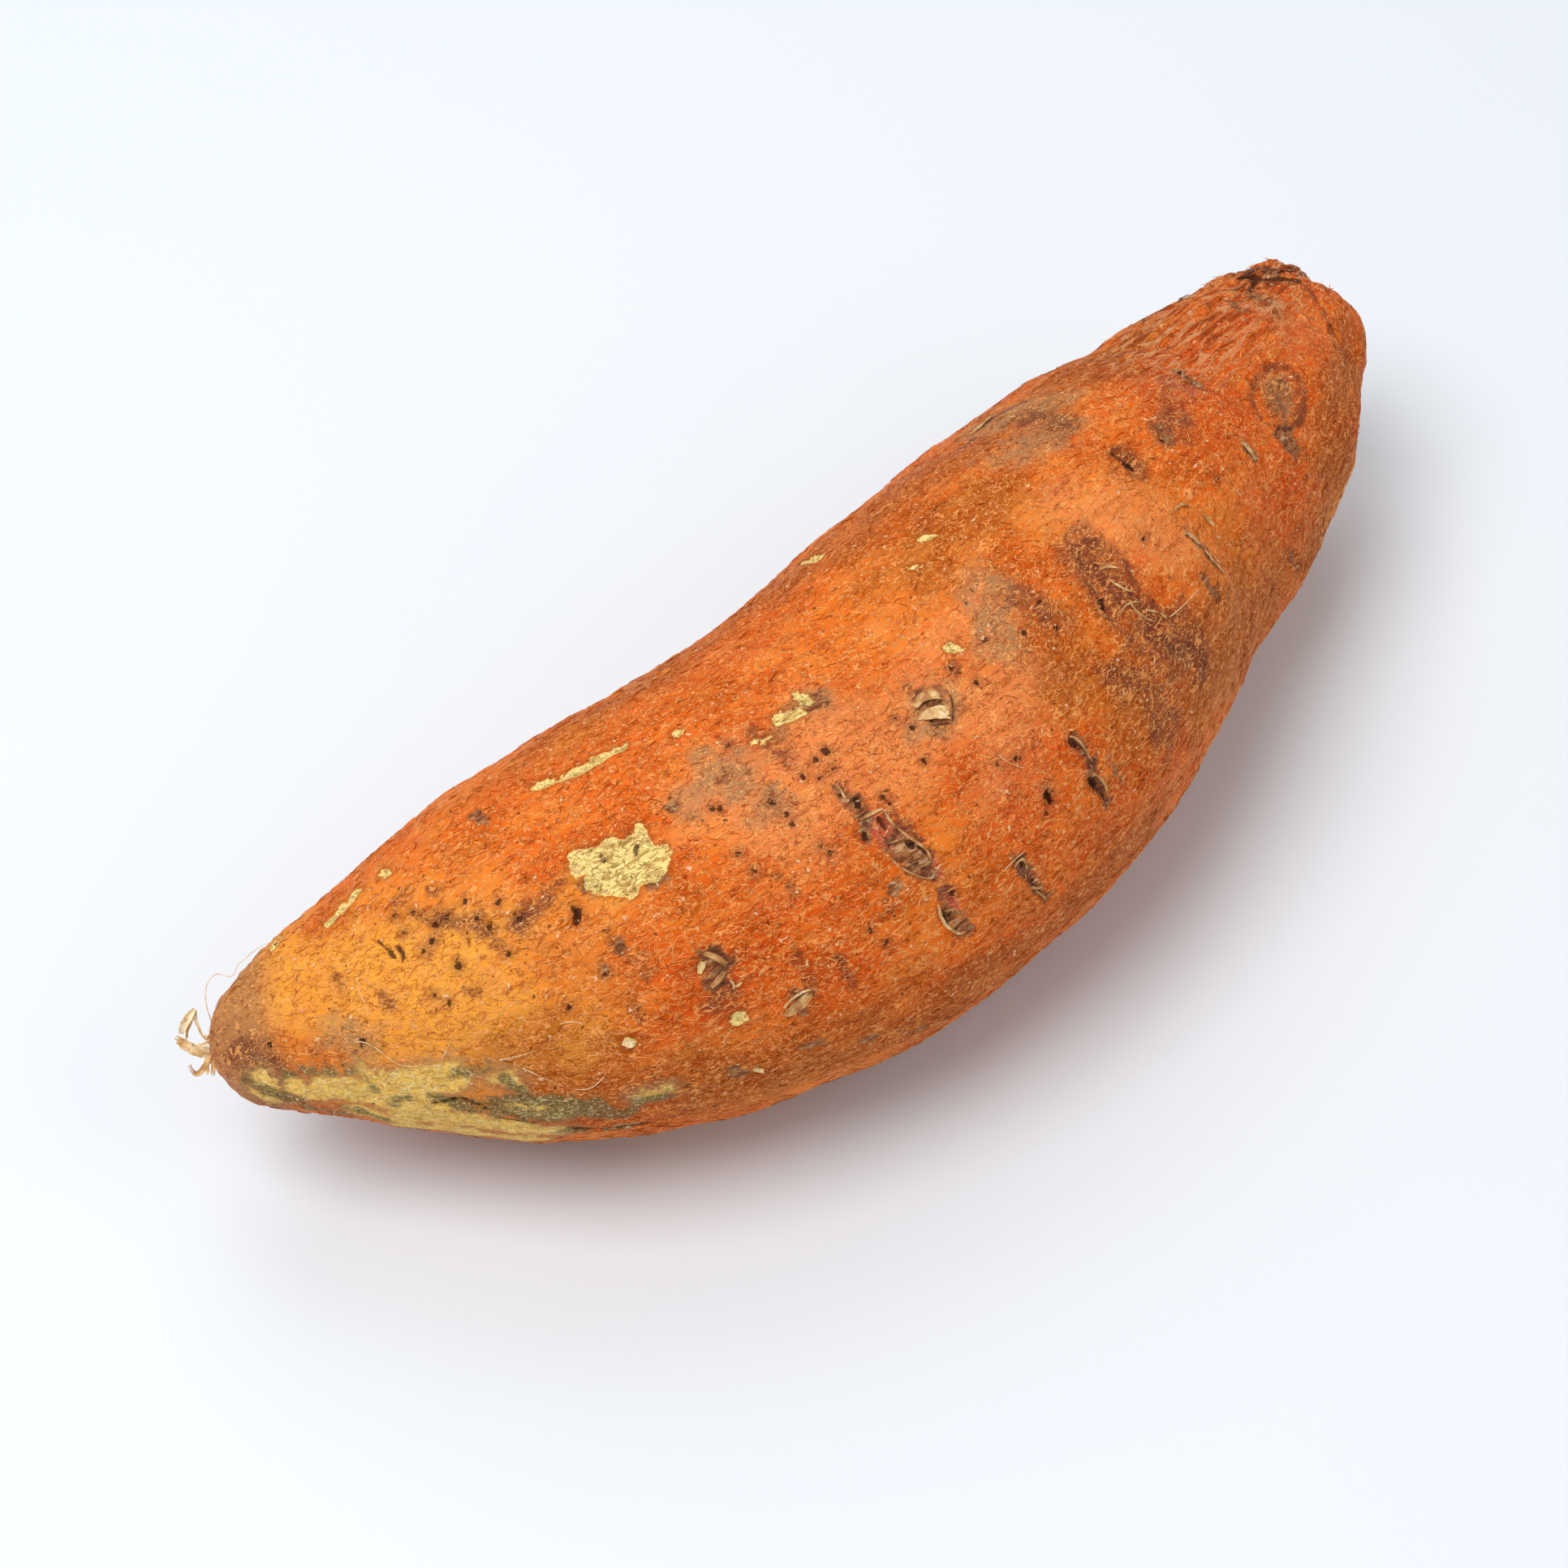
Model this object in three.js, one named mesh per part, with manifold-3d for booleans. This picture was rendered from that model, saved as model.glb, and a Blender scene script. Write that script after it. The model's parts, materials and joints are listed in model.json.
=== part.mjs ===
// A sweet potato: one swollen storage root, lying on its side. Millimetres, +Z up.
// +X runs from the thin root-tip end to the stem end. The root bends in the level plane, its outer side
// to -Y.
// The origin is under the middle of the root's box, on the surface that it lies on.
import * as THREE from "three";
import { mergeVertices } from "three/addons/utils/BufferGeometryUtils.js";
import Module from "manifold-3d";

const wasm = await Module();
wasm.setup();

// Driving dimensions. Each station gives where the middle of the root is, and the half width and half height
// of the root there.
const stations = [
  { x: -101.2, y: 12.2, z: 22.8, wide: 5.6, high: 5.2 },
  { x: -96, y: 8.7, z: 24.2, wide: 8.8, high: 8.7 },
  { x: -84, y: 2.8, z: 26, wide: 16.2, high: 15.5 },
  { x: -68, y: -4.3, z: 27.5, wide: 24.5, high: 23 },
  { x: -48, y: -12, z: 28.5, wide: 29.2, high: 27.6 },
  { x: -24, y: -17, z: 29.2, wide: 31.2, high: 29.6 },
  { x: 2, y: -15.8, z: 29.4, wide: 31.6, high: 30 },
  { x: 26, y: -10.4, z: 29, wide: 29.9, high: 28.8 },
  { x: 48, y: -3.5, z: 27.5, wide: 25.9, high: 25.4 },
  { x: 66, y: -0.7, z: 26.5, wide: 22.6, high: 22.0 },
  { x: 82, y: 3.4, z: 27, wide: 19.5, high: 19.2 },
  { x: 94, y: 8.3, z: 28.4, wide: 14.1, high: 13.5 },
  { x: 101.2, y: 12.4, z: 29.8, wide: 9.8, high: 9.2 },
];
const capLength = 4; // the last stretch of each end, which rounds over to a point
const ringCount = 94;
const ringSides = 52;
const ringsToEnds = 0.6; // 0 spaces the rings evenly, 1 sets them closest together towards both ends
const restDepth = 0.45; // how much of the belly the flat rest spot takes off
const cutter = { side: 400, tall: 40 }; // the block that cuts it off

// A place on the skin is a distance along X and an angle round the root in degrees:
// 0 is the top, 90 the outer side at -Y, 180 the underside and 270 the inner side at +Y.
// A lump reaches so many millimetres along X and so many degrees round, and a negative rise is a hollow.
const lumps = [
  { x: -2, angle: 206, long: 34, round: 26, rise: 2.3 },
  { x: 52, angle: 20, long: 13, round: 30, rise: 1.4 },
  { x: 12, angle: 330, long: 20, round: 30, rise: 1.2 },
  { x: -14, angle: 40, long: 9, round: 26, rise: -0.9 },
  { x: 38, angle: 35, long: 5, round: 50, rise: -1.1 },
  { x: -62, angle: 60, long: 16, round: 30, rise: 0.8 },
  { x: 62, angle: 230, long: 14, round: 34, rise: 1.2 },
  { x: -40, angle: 260, long: 18, round: 30, rise: -1.0 },
  { x: -78, angle: 210, long: 12, round: 40, rise: 0.7 },
  { x: 20, angle: 275, long: 9, round: 30, rise: -0.8 },
  { x: 100, angle: 62, long: 6, round: 42, rise: 1.4 },
  { x: 57, angle: 104, long: 13, round: 24, rise: 1.6 },
];
// Scars that side roots left, sizes in millimetres. Most are slots across the root, and the slant turns them
// a little.
const scars = [
  { x: -27, angle: 42, long: 1.9, round: 8.5, slant: 8, depth: 0.75 },
  { x: -23, angle: 67, long: 2.2, round: 3.6, slant: 0, depth: 0.7 },
  { x: -11, angle: 74, long: 1.8, round: 3.6, slant: 20, depth: 0.6 },
  { x: 4, angle: 55, long: 1.7, round: 2.8, slant: 12, depth: 0.5 },
  { x: 5, angle: 67, long: 1.7, round: 2.8, slant: 15, depth: 0.5 },
  { x: 41, angle: 50, long: 1.9, round: 7, slant: -6, depth: 0.8 },
  { x: 72.8, angle: 31, long: 4.2, round: 4.6, slant: 0, depth: 0.55 },
  { x: -57, angle: 22, long: 5.4, round: 5.4, slant: 0, depth: 0.45 },
  { x: -77, angle: 17, long: 3.2, round: 4.4, slant: 0, depth: 0.4 },
  { x: -52, angle: 128, long: 2, round: 6, slant: 10, depth: 0.7 },
  { x: -6, angle: 118, long: 1.8, round: 4, slant: -12, depth: 0.6 },
  { x: 30, angle: 142, long: 2, round: 7, slant: 5, depth: 0.8 },
  { x: 58, angle: 265, long: 2, round: 6, slant: -8, depth: 0.7 },
  { x: 9, angle: 240, long: 1.9, round: 7, slant: 6, depth: 0.7 },
  { x: -33, angle: 292, long: 2, round: 4, slant: 14, depth: 0.6 },
  { x: -66, angle: 245, long: 2.2, round: 5, slant: -5, depth: 0.7 },
];
// Lengthwise folds that draw the skin in round the stem end.
const folds = { count: 11, from: 60, full: 92, depth: 0.35 };

// The torn stub of the stem stands on the stem end, along the root's own line and a little towards +Y.
const stub = { across: 9.6, tall: 4.2, sunk: 6, aside: 1.4, ragged: 0.55, sides: 20 };
// Its outline from the root up, as shares of its height and half width, and how much of the torn edge shows
// there.
const stubNeck = 0.85;
const stubOutline = [
  { tall: 0.3, reach: 0.9, torn: 0 },
  { tall: 0.75, reach: 1, torn: 0.6 },
  { tall: 1, reach: 0.86, torn: 1 },
  { tall: 0.8, reach: 0.5, torn: -1 },
];
const stubMiddle = 0.7;

// Dried rootlets at the root tip, as flat curled strips. Each point is the distance out from the tip along
// the root's line, the distance sideways to +Y and the height above the tip.
const rootletThick = 0.85;
const rootletTaper = 0.35; // how much narrower a rootlet is at its free end
const rootlets = [
  {
    width: 1.7,
    path: [
      [-2, 0.6, 0.6],
      [0.6, 1.5, 1.3],
      [2.1, 3.6, 3.0],
      [3.1, 4.4, 3.7],
      [4.2, 3.1, 2.7],
      [4.6, 2.0, 1.9],
    ],
  },
  {
    width: 1.8,
    path: [
      [-2, -0.3, 0],
      [1.2, -0.4, 0],
      [2.6, 0.1, 0.1],
      [4.2, 0.8, 0.5],
      [5.6, 1.6, 1.3],
    ],
  },
  {
    width: 1.5,
    path: [
      [-2, -0.6, -0.8],
      [0.8, -1.3, -1.2],
      [1.9, -1.9, -1.9],
      [3, -1.6, -1.6],
      [3.5, -0.9, -1],
    ],
  },
  {
    width: 1.2,
    path: [
      [-2, 1.6, -0.4],
      [0.4, 2.3, -0.6],
      [1.5, 3.1, -0.2],
    ],
  },
  {
    width: 1.2,
    path: [
      [-2, -1.8, 0.6],
      [0.3, -2.7, -0.5],
      [0.6, -3.6, -1.8],
    ],
  },
];
const rootletSteps = 12;
const rootletSides = 6;

const up = new THREE.Vector3(0, 0, 1);
const spine = new THREE.CatmullRomCurve3(
  stations.map((s) => new THREE.Vector3(s.x, s.y, s.z)),
);
const girth = new THREE.CatmullRomCurve3(
  stations.map((s) => new THREE.Vector3(s.wide, s.high, 0)),
);
const spineLength = spine.getLength();

// A smooth bump of height 1 at the middle of its reach.
function bump(distance, reach) {
  return Math.exp(-((distance / reach) ** 2));
}

function angleBetween(a, b) {
  return ((((a - b) % 360) + 540) % 360) - 180;
}

// How far the skin stands out from the plain oval section, which has this radius here.
function relief(x, angle, radius) {
  let rise = 0;
  for (const lump of lumps)
    rise += lump.rise * bump(x - lump.x, lump.long) * bump(angleBetween(angle, lump.angle), lump.round);
  for (const scar of scars) {
    const along = x - scar.x;
    const around = THREE.MathUtils.degToRad(angleBetween(angle, scar.angle)) * radius;
    const slant = THREE.MathUtils.degToRad(scar.slant);
    const across = along * Math.cos(slant) + around * Math.sin(slant);
    const down = around * Math.cos(slant) - along * Math.sin(slant);
    rise -= scar.depth * bump(across, scar.long) * bump(down, scar.round);
  }
  const drawnIn = THREE.MathUtils.smoothstep(x, folds.from, folds.full);
  return rise + folds.depth * drawnIn * Math.sin(folds.count * THREE.MathUtils.degToRad(angle));
}

// The share of the full section that is left at each end, where the root rounds over.
function endRounding(share) {
  const toEnd = Math.min(share, 1 - share) * spineLength;
  return toEnd >= capLength ? 1 : Math.sqrt(1 - (1 - toEnd / capLength) ** 2);
}

function skinPoint(share, angle) {
  const t = spine.getUtoTmapping(share);
  const middle = spine.getPoint(t);
  const along = spine.getTangent(t);
  const outward = new THREE.Vector3().crossVectors(up, along).normalize().negate();
  const upward = new THREE.Vector3().crossVectors(along, outward).normalize().negate();
  const size = girth.getPoint(t);
  const turn = THREE.MathUtils.degToRad(angle);
  const spoke = outward
    .multiplyScalar(Math.sin(turn) * size.x)
    .addScaledVector(upward, Math.cos(turn) * size.y);
  const radius = spoke.length();
  spoke.setLength((radius + relief(middle.x, angle, radius)) * endRounding(share));
  return middle.add(spoke);
}

// A closed body over rings of points, with one point at each end.
function loft(first, rings, last) {
  const sides = rings[0].length;
  const points = [first, ...rings.flat(), last];
  const end = points.length - 1;
  const corner = (ring, side) => 1 + ring * sides + (side % sides);
  const faces = [];
  for (let j = 0; j < sides; j++) {
    faces.push(0, corner(0, j + 1), corner(0, j));
    faces.push(end, corner(rings.length - 1, j), corner(rings.length - 1, j + 1));
    for (let i = 0; i + 1 < rings.length; i++) {
      const [a, b, c, d] = [corner(i, j), corner(i, j + 1), corner(i + 1, j + 1), corner(i + 1, j)];
      faces.push(a, b, c, a, c, d);
    }
  }
  return new THREE.BufferGeometry().setFromPoints(points).setIndex(faces);
}

function buildRoot() {
  const rings = [];
  for (let i = 1; i < ringCount; i++) {
    const closerAtEnds = (1 - Math.cos((Math.PI * i) / ringCount)) / 2;
    const share = THREE.MathUtils.lerp(i / ringCount, closerAtEnds, ringsToEnds);
    rings.push(Array.from({ length: ringSides }, (_, j) => skinPoint(share, (360 * j) / ringSides)));
  }
  return loft(spine.getPoint(0), rings, spine.getPoint(1));
}

// A broken stem: it flares a little to a ragged rim, and its torn middle lies lower.
function buildStub() {
  const along = spine.getTangent(1);
  const side = new THREE.Vector3().crossVectors(up, along).normalize();
  const above = new THREE.Vector3().crossVectors(along, side);
  const place = (height, reach, turn) =>
    spine
      .getPoint(1)
      .addScaledVector(along, height)
      .addScaledVector(side, stub.aside + reach * Math.cos(turn))
      .addScaledVector(above, reach * Math.sin(turn));
  const ring = (height, reach, rough) =>
    Array.from({ length: stub.sides }, (_, j) => {
      const turn = (2 * Math.PI * j) / stub.sides;
      const torn = stub.ragged * (0.6 * Math.sin(3 * turn + 0.8) + 0.6 * Math.sin(7 * turn));
      return place(height + rough * torn, reach * (1 + 0.06 * Math.sin(5 * turn)), turn);
    });
  const radius = stub.across / 2;
  const rings = [
    ring(-stub.sunk, radius * stubNeck, 0),
    ...stubOutline.map(({ tall, reach, torn }) => ring(stub.tall * tall, radius * reach, torn)),
  ];
  return loft(place(-stub.sunk, 0, 0), rings, place(stub.tall * stubMiddle, 0, 0));
}

// A flat strip along a curved path, six-sided across, narrower towards its free end.
function buildRootlet({ width, path }) {
  const out = spine.getTangent(0).negate();
  const side = new THREE.Vector3().crossVectors(out, up).normalize();
  const rise = new THREE.Vector3().crossVectors(side, out);
  const curve = new THREE.CatmullRomCurve3(
    path.map(([along, sideways, height]) =>
      spine
        .getPoint(0)
        .addScaledVector(out, along)
        .addScaledVector(side, sideways)
        .addScaledVector(rise, height),
    ),
  );
  const rings = [];
  for (let i = 0; i <= rootletSteps; i++) {
    const middle = curve.getPointAt(i / rootletSteps);
    const along = curve.getTangentAt(i / rootletSteps);
    const across = new THREE.Vector3().crossVectors(rise, along).normalize();
    const through = new THREE.Vector3().crossVectors(along, across);
    const taper = 1 - rootletTaper * (i / rootletSteps) ** 2;
    rings.push(
      Array.from({ length: rootletSides }, (_, j) => {
        const turn = (2 * Math.PI * j) / rootletSides;
        const flatHeight = rootletThick / 2 / Math.sin(Math.PI / 3);
        return middle
          .clone()
          .addScaledVector(across, (Math.cos(turn) * width * taper) / 2)
          .addScaledVector(through, Math.sin(turn) * flatHeight);
      }),
    );
  }
  return loft(curve.getPoint(0), rings, curve.getPoint(1));
}

function toSolid(geometry) {
  const bare = geometry.clone();
  bare.deleteAttribute("normal");
  bare.deleteAttribute("uv");
  const merged = mergeVertices(bare, 1e-4);
  return new wasm.Manifold(
    new wasm.Mesh({
      numProp: 3,
      vertProperties: merged.attributes.position.array,
      triVerts: new Uint32Array(merged.index.array),
    }),
  );
}

function toGeometry(solid) {
  const mesh = solid.getMesh();
  const geometry = new THREE.BufferGeometry();
  geometry.setAttribute("position", new THREE.BufferAttribute(mesh.vertProperties, 3));
  geometry.setIndex(new THREE.BufferAttribute(mesh.triVerts, 1));
  geometry.computeVertexNormals();
  return geometry;
}

// Everything grown on the root is joined to it, and the flat rest spot is cut off the lowest part of the
// belly.
function buildSweetPotato() {
  let whole = toSolid(buildRoot()).add(toSolid(buildStub()));
  for (const rootlet of rootlets) whole = whole.add(toSolid(buildRootlet(rootlet)));
  const { min, max } = whole.boundingBox();
  const floorBlock = new THREE.BoxGeometry(cutter.side, cutter.side, cutter.tall).translate(
    0,
    0,
    min[2] + restDepth - cutter.tall / 2,
  );
  const geometry = toGeometry(whole.subtract(toSolid(floorBlock)));
  return geometry.translate(-(min[0] + max[0]) / 2, -(min[1] + max[1]) / 2, -(min[2] + restDepth));
}

const skinMaterial = new THREE.MeshStandardMaterial({ color: 0xc8662c, roughness: 0.75, metalness: 0 });
const root = new THREE.Mesh(buildSweetPotato(), skinMaterial);
root.name = "sweet_potato";

const sweetPotato = new THREE.Group();
sweetPotato.add(root);

export default sweetPotato;
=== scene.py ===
import json
from math import cos, pi, radians, sin

import bpy
import numpy as np
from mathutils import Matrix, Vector, noise
from mathutils.bvhtree import BVHTree

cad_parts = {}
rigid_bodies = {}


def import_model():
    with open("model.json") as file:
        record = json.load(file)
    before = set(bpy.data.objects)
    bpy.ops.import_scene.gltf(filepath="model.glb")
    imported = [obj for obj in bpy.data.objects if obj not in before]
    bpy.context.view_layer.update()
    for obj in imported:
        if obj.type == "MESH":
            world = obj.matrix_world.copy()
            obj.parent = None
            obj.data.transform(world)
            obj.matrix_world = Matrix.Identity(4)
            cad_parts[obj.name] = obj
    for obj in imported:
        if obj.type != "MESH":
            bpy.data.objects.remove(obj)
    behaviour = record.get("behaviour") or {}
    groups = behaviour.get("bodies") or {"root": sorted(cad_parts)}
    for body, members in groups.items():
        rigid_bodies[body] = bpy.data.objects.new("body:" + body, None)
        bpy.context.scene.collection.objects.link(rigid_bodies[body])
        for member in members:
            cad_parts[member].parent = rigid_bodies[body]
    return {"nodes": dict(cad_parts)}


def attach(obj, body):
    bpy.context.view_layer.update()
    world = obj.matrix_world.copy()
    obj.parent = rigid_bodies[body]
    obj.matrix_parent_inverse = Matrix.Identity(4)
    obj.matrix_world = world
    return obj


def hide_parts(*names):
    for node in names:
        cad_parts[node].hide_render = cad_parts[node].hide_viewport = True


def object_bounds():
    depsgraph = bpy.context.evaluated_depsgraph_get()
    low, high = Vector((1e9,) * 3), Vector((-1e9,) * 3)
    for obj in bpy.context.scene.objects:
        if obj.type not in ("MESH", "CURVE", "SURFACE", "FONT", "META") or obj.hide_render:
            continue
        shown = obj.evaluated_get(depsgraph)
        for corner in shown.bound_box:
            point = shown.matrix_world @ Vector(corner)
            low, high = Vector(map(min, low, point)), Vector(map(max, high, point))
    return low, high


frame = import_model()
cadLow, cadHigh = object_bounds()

mm = 0.001  # the dictionaries give millimetres and Blender works in metres


def linearColour(code):
    # an sRGB hex value as the linear colour that a socket takes
    channels = [int(code[i:i + 2], 16) / 255 for i in (1, 3, 5)]
    return [c / 12.92 if c <= 0.04045 else ((c + 0.055) / 1.055) ** 2.4 for c in channels] + [1.0]


def addNode(tree, kind, inputs=None, output=0, **settings):
    # one shader node; an input that is a socket is linked, a hex colour is made linear, others are set
    node = tree.nodes.new("ShaderNode" + kind)
    for key, value in settings.items():
        setattr(node, key, value)
    for key, value in (inputs or {}).items():
        if isinstance(value, bpy.types.NodeSocket):
            tree.links.new(value, node.inputs[key])
        else:
            node.inputs[key].default_value = linearColour(value) if isinstance(value, str) else value
    return node.outputs[output] if node.outputs else None


def newMaterial(name):
    material = bpy.data.materials.new(name)
    material.use_nodes = True
    material.node_tree.nodes.clear()
    return material, material.node_tree


def selectOnly(*pieces):
    bpy.ops.object.select_all(action="DESELECT")
    for piece in pieces:
        piece.hide_set(False)
        piece.select_set(True)
        bpy.context.view_layer.objects.active = piece


def editAll(piece):
    # edit mode with the whole piece selected
    selectOnly(piece)
    bpy.ops.object.mode_set(mode="EDIT")
    bpy.ops.mesh.select_all(action="SELECT")


def applyModifier(piece, kind, **settings):
    selectOnly(piece)
    bpy.ops.object.modifier_add(type=kind)
    modifier = piece.modifiers[-1]
    for key, value in settings.items():
        setattr(modifier, key, value)
    bpy.ops.object.modifier_apply(modifier=modifier.name)


def readPoints(mesh, field="co"):
    values = np.empty(len(mesh.vertices) * 3)
    mesh.vertices.foreach_get(field, values)
    return values.reshape(-1, 3)


def writeValue(piece, name, values):
    # a number for each point, or one for all of them, that a material reads by its name
    layer = piece.data.attributes.new(name, "FLOAT", "POINT")
    layer.data.foreach_set("value", np.broadcast_to(values, len(piece.data.vertices)).astype(np.float32))


def smoothStep(value, low, high):
    share = np.clip((value - low) / (high - low), 0, 1)
    return share * share * (3 - 2 * share)


def unit(vectors):
    return vectors / np.linalg.norm(vectors, axis=-1, keepdims=True)


def keepInBox(points):
    return np.clip(points, np.array(cadLow), np.array(cadHigh))


def noiseAt(points, size, seed, octaves=2):
    # smooth noise from about -1 to 1, with features of this many millimetres
    places = points / np.multiply(size, mm) + 31.7 * seed
    return np.array([noise.fractal(Vector(p), 1.0, 2.0, octaves) for p in places])


# Camera: it looks down at the outer side from above the root tip

cameraSet = {
    "azimuth": -42,
    "elevation": 50,
    "distance": 540,
    "target": (-17.33, 7.64, 27.24),
    "lens": 90,
    "sensor": 36,
    "imageSide": 1932,
}
turnAround, turnUp = radians(cameraSet["azimuth"]), radians(cameraSet["elevation"])
towardsCamera = Vector((sin(turnAround) * cos(turnUp), -cos(turnAround) * cos(turnUp), sin(turnUp)))
imageRight = Vector((cos(turnAround), sin(turnAround), 0))
imageUp = towardsCamera.cross(imageRight)
cameraPlace = (Vector(cameraSet["target"]) + towardsCamera * cameraSet["distance"]) * mm
bpy.ops.object.camera_add(location=cameraPlace, rotation=(-towardsCamera).to_track_quat("-Z", "Y").to_euler())
camera = bpy.context.object
camera.data.lens = cameraSet["lens"]
camera.data.sensor_width = cameraSet["sensor"]
camera.data.clip_start, camera.data.clip_end = 0.02, 20
bpy.context.scene.camera = camera
print("camera placed")


# Skin: a fine mesh over the root, without the rootlets, which are a piece of their own

skinSet = {
    "voxel": 0.7,          # keeps the skin under 200,000 triangles
    "smoothSteps": 19,
    "weld": 0.005,
    "tipInset": 0.3,       # how far inside the root tip the rootlets are cut off
    "swell": 0.45,         # broad unevenness
    "swellSize": 14,
    "dimple": 0.16,        # small unevenness
    "dimpleSize": 4.5,
    "grain": 0.045,        # fine lengthwise grain
    "grainSize": (3.2, 1.1, 1.1),
    "wrinkle": 0.42,       # ridges that the drying skin of the stem end throws up
    "wrinkleSize": (16, 1.9, 1.9),
    "wrinkleSharp": 2.6,
    "wrinkleOver": (35, 74),     # where along the root they begin and are full, as below
    "wrinkleTurn": 55,           # they fade out round the root, on the side that lies this way
    "wrinkleFade": (-1.0, 0.1),
    "wrinkleLeast": 0.25,
    "tipFill": 0.9,        # gives back what the smoothing takes off the two ends
    "tipFillOver": (-90, -101),
    "stemFill": 0.7,
    "stemFillOver": (94, 102),
    "tipRing": 0.16,       # rings round the shrivelled root tip
    "tipRingSize": (1.2, 5, 5),
    "tipRingOver": (-88, -101),
    "tipBrown": (-96, -104),     # the grey-brown of the tip
    "bandRough": 0.22,     # unevenness of the yellow-green band
    "bandSize": (6, 1.8, 1.8),
    "offFloor": (0.1, 2.0),      # no relief on the rest spot, all of it this high above the floor
}
rootNode = frame["nodes"]["sweet_potato"]
selectOnly(rootNode)
bpy.ops.object.duplicate()
skin = bpy.context.object
skin.name = skin.data.name = "skin"
bpy.ops.object.parent_clear(type="CLEAR_KEEP_TRANSFORM")
for key in list(skin.keys()):
    del skin[key]

tip = Vector((-101.5, 25.3, 24.0)) * mm
tipOutward = Vector((-5.2, 3.5, -1.4)).normalized()
editAll(skin)
bpy.ops.mesh.remove_doubles(threshold=skinSet["weld"] * mm)
bpy.ops.mesh.bisect(
    plane_co=tip - tipOutward * skinSet["tipInset"] * mm,
    plane_no=tipOutward,
    use_fill=True,
    clear_outer=True,
)
bpy.ops.object.mode_set(mode="OBJECT")
applyModifier(skin, "REMESH", mode="VOXEL", voxel_size=skinSet["voxel"] * mm)
applyModifier(skin, "SMOOTH", factor=0.5, iterations=skinSet["smoothSteps"])
skinPoints = readPoints(skin.data)
skinNormals = readPoints(skin.data, "normal")
print("skin mesh", len(skinPoints), "points,", len(skin.data.polygons), "faces")


# The root's own line, through the middles of thin slices, and coordinates as if the root lay straight

lineSet = {"slices": 40, "from": -96, "to": 95, "order": 6, "reach": 115, "places": 1151, "rounds": 4}
edges = np.linspace(lineSet["from"], lineSet["to"], lineSet["slices"] + 1) * mm
slicePlaces = (edges[1:] + edges[:-1]) / 2
inSlice = np.digitize(skinPoints[:, 0], edges) - 1
middles = []
for i in range(lineSet["slices"]):
    ring = skinPoints[inSlice == i]
    middles.append((ring.max(0) + ring.min(0)) / 2)
middles = np.array(middles)
lineY = np.polynomial.Polynomial.fit(slicePlaces, middles[:, 1], lineSet["order"])
lineZ = np.polynomial.Polynomial.fit(slicePlaces, middles[:, 2], lineSet["order"])


def linePoint(x):
    # the middle of the root at this x and the direction there; past the ends the line runs on straight
    inside = np.clip(x, slicePlaces[0], slicePlaces[-1])
    slopeY, slopeZ = lineY.deriv()(inside), lineZ.deriv()(inside)
    middle = np.stack([x, lineY(inside) + slopeY * (x - inside), lineZ(inside) + slopeZ * (x - inside)], -1)
    along = np.stack([np.ones_like(x), slopeY, slopeZ], -1)
    return middle, unit(along)


lengthTable = np.linspace(-lineSet["reach"], lineSet["reach"], lineSet["places"]) * mm
steps = np.linalg.norm(np.diff(linePoint(lengthTable)[0], axis=0), axis=1)
runTable = np.concatenate([[0], np.cumsum(steps)]) - steps[: len(steps) // 2].sum()


def straighten(points):
    # length along the root, then the place across it and above it, all in metres
    x = points[:, 0].copy()
    for _ in range(lineSet["rounds"]):
        middle, along = linePoint(x)
        x += ((points - middle) * along).sum(1) * along[:, 0]
    middle, along = linePoint(x)
    outer = unit(np.stack([along[:, 1], -along[:, 0], np.zeros(len(x))], 1))
    upward = np.cross(outer, along)
    spoke = points - middle
    run = np.interp(x, lengthTable, runTable)
    return np.stack([run, (spoke * outer).sum(1), (spoke * upward).sum(1)], 1), along


skinStraight, skinAlong = straighten(skinPoints)
lengthAt = skinStraight[:, 0] / mm  # 0 in the middle, about -109 at the root tip and 110 at the stem end
angleAt = np.degrees(np.arctan2(skinStraight[:, 1], skinStraight[:, 2]))  # 0 on top, 90 on the outer side
print("length from", lengthAt.min().round(1), "to", lengthAt.max().round(1))


# Marks on the skin. Each is a line of this half width in mm through places that are named by the pixels,
# across and down, under which the camera sees them; a single place makes a round spot.

def skinSurface():
    corners = [list(face.vertices) for face in skin.data.polygons]
    return BVHTree.FromPolygons([Vector(point) for point in skinPoints], corners)


surface = skinSurface()


def rayTo(across, down):
    scale = cameraSet["sensor"] / cameraSet["lens"] / cameraSet["imageSide"]
    middle = cameraSet["imageSide"] / 2
    return -towardsCamera + imageRight * (across - middle) * scale - imageUp * (down - middle) * scale


def placeUnder(across, down):
    spot, normal, face, reach = surface.ray_cast(cameraPlace, rayTo(across, down).normalized())
    return None if spot is None else np.array(spot)


def placesUnder(numbers):
    places = [placeUnder(across, down) for across, down in zip(numbers[::2], numbers[1::2])]
    return [place for place in places if place is not None]


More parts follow.
